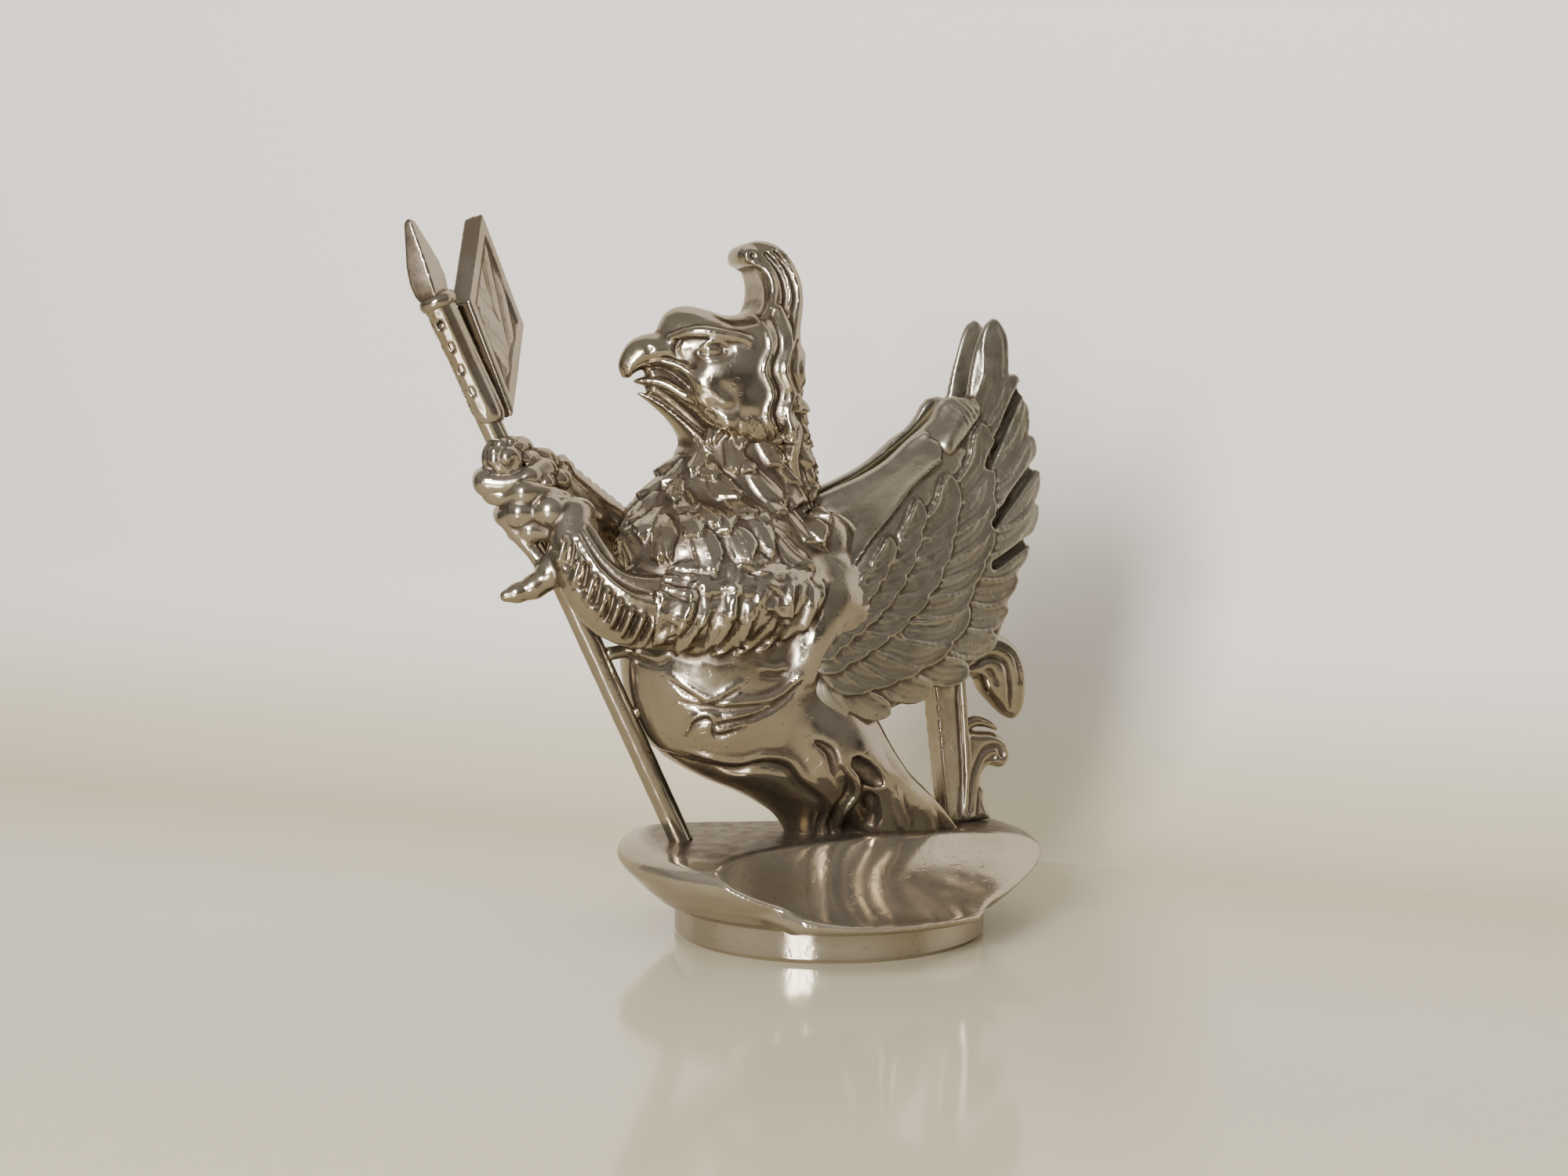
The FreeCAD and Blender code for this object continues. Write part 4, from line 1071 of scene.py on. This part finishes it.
def tail_piece():
    f = Field((13, -6, 13), (31.8, 6, 43), 0.24)
    x, y, z = f.grid()
    # the flat-faced strut
    t = np.clip((z - TAIL_FOOT) / 21, 0, 1)
    aside = x - (19.5 - 1.7 * t)
    f.f[:] = np.maximum(np.maximum(np.abs(aside) - (1.7 + 0.6 * t), np.abs(y) - 1.9 + 0.25 * aside),
                        np.maximum(TAIL_FOOT - z, z - 37))
    f.tube([(19.9, -1.9, 36, 0.5), (20.6, -1.8, 27, 0.55), (21.0, -1.8, 20, 0.55), (21.2, -1.8, 15.0, 0.6)],
           0.4)
    # the curl above it with the drooping tassel, a fluted leaf bent over, and a leafy tuft at the foot
    f.tube([(17.6, 0, 34, 2.0), (18.6, 0, 37.4, 2.0), (21.4, 0, 39.0, 1.9)], 0.8)
    puffed(f, TASSEL, lambda x, z: 2.9 - 0.10 * np.clip(36 - z, 0, 9), lambda x, z: 1.5, 0.4)
    puffed(f, TUFT, lambda x, z: 2.1, lambda x, z: 1.1, 0.4)
    for s in SIDES:
        for path in TAIL_FLUTES:
            f.tube(path, 0.35, carve=True, side=s)
    f.tube([(20.6, 0, 27.8, 1.0), (22.6, 0, 28.7, 0.9), (24.6, 0, 28.4, 0.65), (26.4, 0, 27.5, 0.35)], 0.3)
    f.tube([(19.0, 0, 14.6, 1.9), (22.0, 0, 14.8, 1.4), (24.8, 0, 14.5, 0.6)], 0.6)
    f.join((10, -8, 10), (34, 8, 15.5), lambda x, y, z: z - 14.25, 0.05, carve=True)
    Skin(f).finish("tail_and_tassel", FIGURE, "tail")


# -------------------- staff, sleeve, banner, collar and spear point
def unit(v):
    v = np.array(v, float)
    return v / np.linalg.norm(v)


def frame_about(axis):
    axis = unit(axis)
    side = unit(np.cross(axis, (0, 1, 0)))
    return axis, side, np.cross(axis, side)


def offset_along(d, axis):
    """The offsets d = (dx, dy, dz) measured along an axis."""
    return d[0] * axis[0] + d[1] * axis[1] + d[2] * axis[2]


def turned(name, profile, origin, axis, material, nodes=(), sides=64, dents=0.0):
    """A turned form: (distance along the axis, radius) stations, closed at both ends, with slight dents."""
    axis, u, v = frame_about(axis)
    phase = np.random.default_rng(3).uniform(0, 6.28, 6)
    points, faces = [], []
    for s, r in profile:
        for k in range(sides):
            a = 2 * math.pi * k / sides
            waves = math.sin(1.7 * s + phase[0] + 2 * a) + 0.6 * math.sin(0.63 * s + phase[1] - 3 * a)
            points.append(origin + axis * s + (r + dents * waves) * (math.cos(a) * u + math.sin(a) * v))
    for i in range(len(profile) - 1):
        for k in range(sides):
            n = (k + 1) % sides
            faces.append((i * sides + k, i * sides + n, (i + 1) * sides + n, (i + 1) * sides + k))
    faces.append(tuple(reversed(range(sides))))
    faces.append(tuple(range((len(profile) - 1) * sides, len(profile) * sides)))
    make_piece(name, points, faces, material, nodes)


def staff_piece():
    stations = [(-1.0 + 0.8 * i, STAFF_R) for i in range(100)]
    turned("staff_rod", stations, STAFF_FOOT, STAFF_AXIS, STAFF, ["staff"], dents=0.012)


BANNER_TOP, BANNER_LOW = np.array([-50.8, 0.9, 87.7]), np.array([-45.0, 0.9, 72.4])
BANNER_FLY = np.array([4.2, 10.2, 12.6])
BANNER_BACK = np.array([-3.2, 0, 0.3])
BANNER_HALF_THICK = 1.55
SLEEVE_ASIDE = np.array([0.35, -0.1, 0.15])


def banner_form(f):
    """A thick slanted plate: a raised plain border round a sunk field with soft folds, on both faces."""
    hoist = BANNER_LOW - BANNER_TOP
    centre = (BANNER_TOP + BANNER_LOW + BANNER_FLY) / 2 + BANNER_BACK / 2
    face = unit(np.cross(BANNER_FLY, hoist))
    if face[0] > 0:
        face = -face
    edge_a, edge_b = unit(np.cross(face, BANNER_FLY)), unit(np.cross(face, hoist))
    d = [axis - c for axis, c in zip(f.grid(), centre)]
    a, b = offset_along(d, edge_a), offset_along(d, edge_b)
    border = np.maximum(np.abs(a) - abs(hoist @ edge_a) / 2, np.abs(b) - abs(BANNER_FLY @ edge_b) / 2)
    sunk = np.clip((-border - 1.3) / 0.5, 0, 1) * 0.45
    crease = np.abs(np.mod(np.abs(b) * 0.62 + a * 0.40 + 0.4, 2.4) - 1.2)
    fold = 0.34 * np.clip(1 - crease / 0.9, 0, 1) * np.clip((-border - 1.5) / 0.7, 0, 1)
    slab = np.abs(offset_along(d, face)) - (BANNER_HALF_THICK - sunk + fold)
    f.f[:] = -smooth_min(-slab, -border, 0.35)


def banner_piece():
    f = Field((-62, -4, 66), (-38, 15, 101), 0.22)
    banner_form(f)
    sleeve = ((64.6, 2.1), (66, 2.15), (72, 2.1), (79.9, 2.15))
    f.tube([(*(on_staff(s) + SLEEVE_ASIDE), r) for s, r in sleeve], 0.6, 1)
    # a row of dents between two fine grooves down the sleeve
    for s, turn in ((68.2, -52), (71.4, -47), (74.6, -52), (77.8, -47)):
        f.ball(on_staff(s, turn, 2.2) + SLEEVE_ASIDE, (0.5, 0.4, 0.75), 0.2, carve=True)
    for turn in (-35, -62):
        ends = [(*(on_staff(s, turn, 2.3) + SLEEVE_ASIDE), 0.3) for s in (65.5, 79.5)]
        f.tube(ends, 0.15, 1, carve=True)
    bore_for_staff(f, 55, 85, 0.05)
    Skin(f).finish("banner_and_sleeve", STAFF, "banner")


COLLAR = [(79.7, 1.7), (79.8, 2.1), (80.1, 2.45), (80.7, 2.6), (81.3, 2.45), (81.6, 2.1), (81.8, 1.7)]
SPEAR_TIP = np.array([-59.3, 0.0, 98.6])
SPEAR_STATIONS = [-0.05, 0, 0.1, 0.25, 0.45, 0.7, 0.88, 0.97, 1.02]  # along the spear point, base to tip
SPEAR_BLADE = [1.5, 1.8, 2.35, 2.55, 2.3, 1.6, 1.05, 0.75, 0.05]
SPEAR_SPINE = [1.5, 1.8, 2.0, 2.0, 1.8, 1.35, 0.95, 0.7, 0.05]


def spear_tarnish_and_shade(skin):
    """Tarnished hollows, and painted shade: the faces turned to the left and back are painted dark brown."""
    # painted shade: the faces turned to the left and back are painted dark brown
    painted_shade = 0.95 * np.clip((skin.n @ np.array([-0.94, 0.35, 0.0])) * 4 - 0.4, 0, 1)
    return np.maximum(skin.hollows(), painted_shade)


def finial_pieces():
    turned("spear_collar", COLLAR, STAFF_FOOT + (0.4, 0, 0.2), STAFF_AXIS, STAFF, ["collar"])
    f = Field((-64, -4.5, 84), (-50, 4.5, 100.9), 0.2)
    base = on_staff(81.0)
    length = np.linalg.norm(SPEAR_TIP - base)
    axis, u, v = frame_about(SPEAR_TIP - base)
    d = [axis - c for axis, c in zip(f.grid(), base)]
    s = offset_along(d, axis) / length
    # four flat faces that meet in sharp ridges
    body = (np.abs(offset_along(d, u)) / np.interp(s, SPEAR_STATIONS, SPEAR_BLADE)) ** 1.08 \
        + (np.abs(offset_along(d, v)) / np.interp(s, SPEAR_STATIONS, SPEAR_SPINE)) ** 1.08
    f.f[:] = np.maximum((body - 1) * 0.9, np.maximum(-s * length - 0.4, (s - 1.01) * length))
    f.tube([(*base, 1.5), (*(base + axis * 0.6), 1.3)], 0.3, 1)
    Skin(f).finish("spear_point", STAFF, "finial", tarnish_and_shade=spear_tarnish_and_shade)


TIE = [(1.2, 0.8), (1.6, 1.05), (2.2, 0.95), (3.4, 0.95), (5.2, 1.0), (7.5, 1.0)]


def tie_pieces():
    """Short pins between the staff and the belly, each with a rounded collar."""
    for k, s in enumerate((19.5, 28.6)):
        turned("staff_tie_%d" % (k + 1), TIE, on_staff(s), (STAFF_AXIS[2], 0, -STAFF_AXIS[0] * 0.3), FIGURE,
               sides=24)


# -------------------- the lens-shaped flange with its grip hollows
# outlines of (radius, height): the lens, and the apron that makes it fuller under the grip hollows
LENS = [(0, 4.4), (12, 4.4), (22.6, 4.4), (24.6, 5.4), (27.4, 7.9), (29.5, 10.0), (30.25, 11.2),
        (30.0, 12.3), (29.0, 13.1), (27.0, 13.7), (23.5, 14.15), (19, 14.35), (0, 14.4)]
APRON = [(0, 4.4), (23.2, 4.4), (26.0, 4.8), (28.4, 5.6), (29.3, 6.5), (29.2, 8.0), (27.5, 9.2), (0, 9.2)]
GRIP_AXIS = (9.4, 75.0)  # a hollow's floor is turned about this upright axis, outside the flange
GRIP_RIDGE = 67.5  # the radius about it at which the hollow starts
GRIP_RUN = 23.0  # from there to the deepest point
GRIP_DROP = 8.0  # how deep that point lies below the land
GRIP_CURVE = 2.3  # the greater, the steeper at first and the flatter then
LAND = 14.4  # the height of the flat land that the figure stands on
RING = 0.1  # the step of the table that is turned round the axis


def revolved(f, outline):
    """The distance to an outline of (radius, height) turned round the upright axis."""
    x, y, _ = f.grid()
    rows = np.arange(0, 46.0, RING)
    table = outline_distance(rows[:, None], f.axes[2][None, :], outline)
    i = np.clip(np.hypot(x, y)[:, :, 0] / RING, 0, len(rows) - 2)
    i0 = i.astype(int)
    w = (i - i0)[:, :, None]
    return table[i0] * (1 - w) + table[i0 + 1] * w


def flange_tarnish_and_dark_land(skin):
    """The flat land on top is darker and duller than the polished hollows."""
    # the upward-facing land at the top is made darker and duller
    dark_land = 0.38 * np.clip((skin.p[:, 2] - 13.5) / 0.5, 0, 1) * np.clip(skin.n[:, 2] * 8 - 7, 0, 1)
    return np.maximum(skin.hollows() * 0.15, dark_land)


def flange_piece():
    f = Field((-31, -31, 3.6), (31, 31, 15.4), 0.30)
    x, y, z = f.grid()
    f.f[:] = revolved(f, LENS)
    reach = np.clip((np.abs(y) - 15.0) / 6.0, 0, 1) * np.clip((17.5 - np.abs(x + 1.5)) / 5.0, 0, 1)
    f.blend(revolved(f, APRON) + (1 - reach) * 3.0, 1.6)
    for s in SIDES:
        out = GRIP_RIDGE - np.hypot(x - GRIP_AXIS[0], y - GRIP_AXIS[1] * s)
        u = np.clip(out / GRIP_RUN, -0.2, 1)
        floor = LAND - GRIP_DROP * (1 - (1 - u) ** GRIP_CURVE)
        steep = GRIP_DROP * GRIP_CURVE / GRIP_RUN * np.clip(1 - u, 0, 1.1) ** (GRIP_CURVE - 1)
        f.blend((floor - z) / np.sqrt(1 + steep ** 2), 0.45, carve=True)
    # room for the cap's crown and for the stud's boss
    f.join((-40, -40, 0), (40, 40, 7), lambda x, y, z: np.maximum(np.hypot(x, y) - 22.3, z - 5.9), 0.05,
           carve=True)
    f.join((-12, -12, 0), (12, 12, 11.5), lambda x, y, z: np.maximum(np.hypot(x, y) - 8.8, z - 10.6), 0.05,
           carve=True)
    Skin(f, 2).finish("lens_flange", BASE, "base_flange", tarnish_and_shade=flange_tarnish_and_dark_land)


# -------------------- the cap and the hidden pieces keep their CAD solids
def paint(node, material):
    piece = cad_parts[node]
    piece.data.materials.clear()
    piece.data.materials.append(material)


def plain_metal(name, color, rough):
    m = Nodes(bpy.data.materials.new(name))
    place = m.place()
    cloud = m.noise(place, 500, 4)
    normal = m.bump(m.noise(place, 2200, 3), 0.15, 0.0001)
    m.surface(m.mix(m.span(cloud, 0.3, 0.7), color, tinted(color, 0.7, 0.66, 0.6)),
              m.span(cloud, 0.3, 0.7, rough, rough + 0.2), normal, 1.0)
    return m.owner


def rubber(name):
    m = Nodes(bpy.data.materials.new(name))
    place = m.place()
    cloud = m.noise(place, 700, 4)
    normal = m.bump(m.noise(place, 1800, 3), 0.3, 0.0001)
    m.surface(m.mix(cloud, rgb(0.02, 0.02, 0.02), rgb(0.07, 0.065, 0.06)),
              m.span(cloud, 0.3, 0.7, 0.55, 0.8), normal)
    return m.owner


def paint_cad_pieces():
    brass = plain_metal("raw_brass", rgb(0.62, 0.43, 0.18), 0.30)
    steel = plain_metal("zinc_steel", rgb(0.55, 0.56, 0.57), 0.28)
    paint("cap_shell", BASE)
    paint("sealing_washer", rubber("gasket_rubber"))
    for node in ("thread_ring", "neck_dowel", "crest_pin", "wing_pins", "foreleg_dowels"):
        paint(node, brass)
    for node in ("mounting_stud", "plain_washer", "spring_washer", "clamp_nut", "figure_screws",
                 "locating_pin", "tail_screw"):
        paint(node, steel)


# -------------------- floor, wall, light and camera
def stage_piece(name, corners, material, faces=((0, 1, 2, 3),)):
    mesh = bpy.data.meshes.new(name)
    mesh.from_pydata([tuple(Vector(c) * MM) for c in corners], [], list(faces))
    mesh.shade_smooth()
    mesh.materials.append(material)
    piece = bpy.data.objects.new(name, mesh)
    bpy.context.scene.collection.objects.link(piece)


FLOOR_COLOR = rgb(0.44, 0.40, 0.29)
FLOOR_HALF = 2500
COVE = 45  # the radius in which the wall meets the floor
WALL_HALF, WALL_HEIGHT = 1500, 2000
WALL_FOOT = Vector((38.0, 108.0, 0.0))
WALL_RUN = Vector((0.711, -0.703, 0.0))


def floor_gloss():
    m = Nodes(bpy.data.materials.new("floor_gloss"))
    place = m.place()
    m.surface(m.mix(m.noise(place, 6, 3), FLOOR_COLOR, rgb(0.41, 0.37, 0.27)),
              m.span(m.noise(place, 30, 3), 0.3, 0.7, 0.08, 0.14), m.bump(m.noise(place, 40, 2), 0.05, 0.001))
    m.shader.inputs["Specular IOR Level"].default_value = 0.35
    return m.owner


def wall_paint():
    """Floor-coloured low down, paler above, and clear from behind, so that it doesn't hide the object."""
    m = Nodes(bpy.data.materials.new("wall_paint"))
    place = m.place()
    paint = m.mix(m.noise(place, 3, 2), rgb(0.60, 0.575, 0.545), rgb(0.63, 0.60, 0.57))
    m.surface(m.mix(m.span(m.height(place), 0.004, 0.040), FLOOR_COLOR, paint), 0.75)
    choose = m.add("ShaderNodeMixShader")
    m.link(m.add("ShaderNodeNewGeometry").outputs["Backfacing"], choose.inputs[0])
    m.link(m.shader.outputs[0], choose.inputs[1])
    m.link(m.add("ShaderNodeBsdfTransparent").outputs[0], choose.inputs[2])
    m.link(choose.outputs[0], m.tree.nodes["Material Output"].inputs["Surface"])
    return m.owner


def build_stage():
    w = FLOOR_HALF
    stage_piece("floor", [(-w, -w, 0), (w, -w, 0), (w, w, 0), (-w, w, 0)], floor_gloss())
    inward = Vector((WALL_RUN.y, -WALL_RUN.x, 0.0))
    bends = [i * 9 * DEG for i in range(11)]
    cove = [(COVE * (1 - math.sin(a)), COVE * (1 - math.cos(a))) for a in bends] + [(0.0, WALL_HEIGHT)]
    points = [WALL_FOOT + inward * out + WALL_RUN * along_wall + Vector((0, 0, up + 0.05))
              for out, up in cove for along_wall in (-WALL_HALF, WALL_HALF)]
    faces = [(2 * i, 2 * i + 1, 2 * i + 3, 2 * i + 2) for i in range(len(cove) - 1)]
    stage_piece("wall", points, wall_paint(), faces)


def area_light(name, place, target, size, power, color):
    data = bpy.data.lights.new(name, "AREA")
    data.shape = "RECTANGLE"
    data.size, data.size_y = size * MM, size * MM
    data.energy = power
    data.color = color
    light = bpy.data.objects.new(name, data)
    light.location = Vector(place) * MM
    light.rotation_euler = (Vector(target) - Vector(place)).to_track_quat("-Z", "Y").to_euler()
    bpy.context.scene.collection.objects.link(light)
    return light


# the centre of the window's first pane, and the width of each
WINDOW_CORNER = (-560, -520, 150)
PANE = 95


def build_world():
    """A pale room all round, with dark shapes like furniture low down."""
    world = bpy.data.worlds.new("studio")
    bpy.context.scene.world = world
    w = Nodes(world)
    place = w.place("Generated")
    height = w.height(place)
    ramp = w.add("ShaderNodeValToRGB")
    w.link(height, ramp.inputs[0])
    low, high = ramp.color_ramp.elements
    low.position, high.position = 0.0, 0.55
    low.color, high.color = rgb(0.36, 0.315, 0.26), rgb(0.72, 0.67, 0.60)
    gaps = w.span(w.noise(place, 2.6, 2.0, 0.5), 0.44, 0.50, kind="LINEAR")
    above = w.span(height, 0.30, 0.42, kind="LINEAR")
    back = w.tree.nodes["Background"]
    w.link(w.mix(w.math("MAXIMUM", gaps, above), rgb(0.045, 0.036, 0.028), ramp.outputs[0]),
           back.inputs["Color"])
    back.inputs["Strength"].default_value = 0.5


def build_light():
    """A window of six panes to the left in front, and a broad soft light above."""
    left, near, sill = WINDOW_CORNER
    for i in range(2):
        for j in range(3):
            area_light("window_%d%d" % (i, j), (left + PANE * i, near - 60 * i, sill + 105 * j), (0, 0, 50),
                       PANE, 2.3, (1.0, 0.985, 0.96))
    soft = area_light("ceiling_soft", (-350, -250, 900), (0, 60, 30), 800, 7.5, (1.0, 0.965, 0.92))
    soft.visible_glossy = False


CAMERA_PLACE = (-115.4, -285.6, 71.0)
CAMERA_DOWN, CAMERA_RIGHT = 4.12, 20.81  # degrees below level, and to the right of the view along +Y


def build_camera():
    data = bpy.data.cameras.new("camera")
    camera = bpy.data.objects.new("camera", data)
    bpy.context.scene.collection.objects.link(camera)
    data.lens, data.sensor_width = 50, 36
    data.clip_start, data.clip_end = 0.01, 20
    camera.location = Vector(CAMERA_PLACE) * MM
    camera.rotation_euler = ((90 - CAMERA_DOWN) * DEG, 0, -CAMERA_RIGHT * DEG)
    bpy.context.scene.camera = camera


build_camera()
build_stage()
build_world()
build_light()
paint_cad_pieces()
flange_piece()
body_piece()
head_piece()
WINGS = wing_relief()
wing_piece(-1, "left_wing_feathers", "left_wing", WINGS)
wing_piece(1, "right_wing_feathers", "right_wing", WINGS)
left_foreleg_piece()
right_foreleg_piece()
tail_piece()
staff_piece()
banner_piece()
finial_pieces()
tie_pieces()
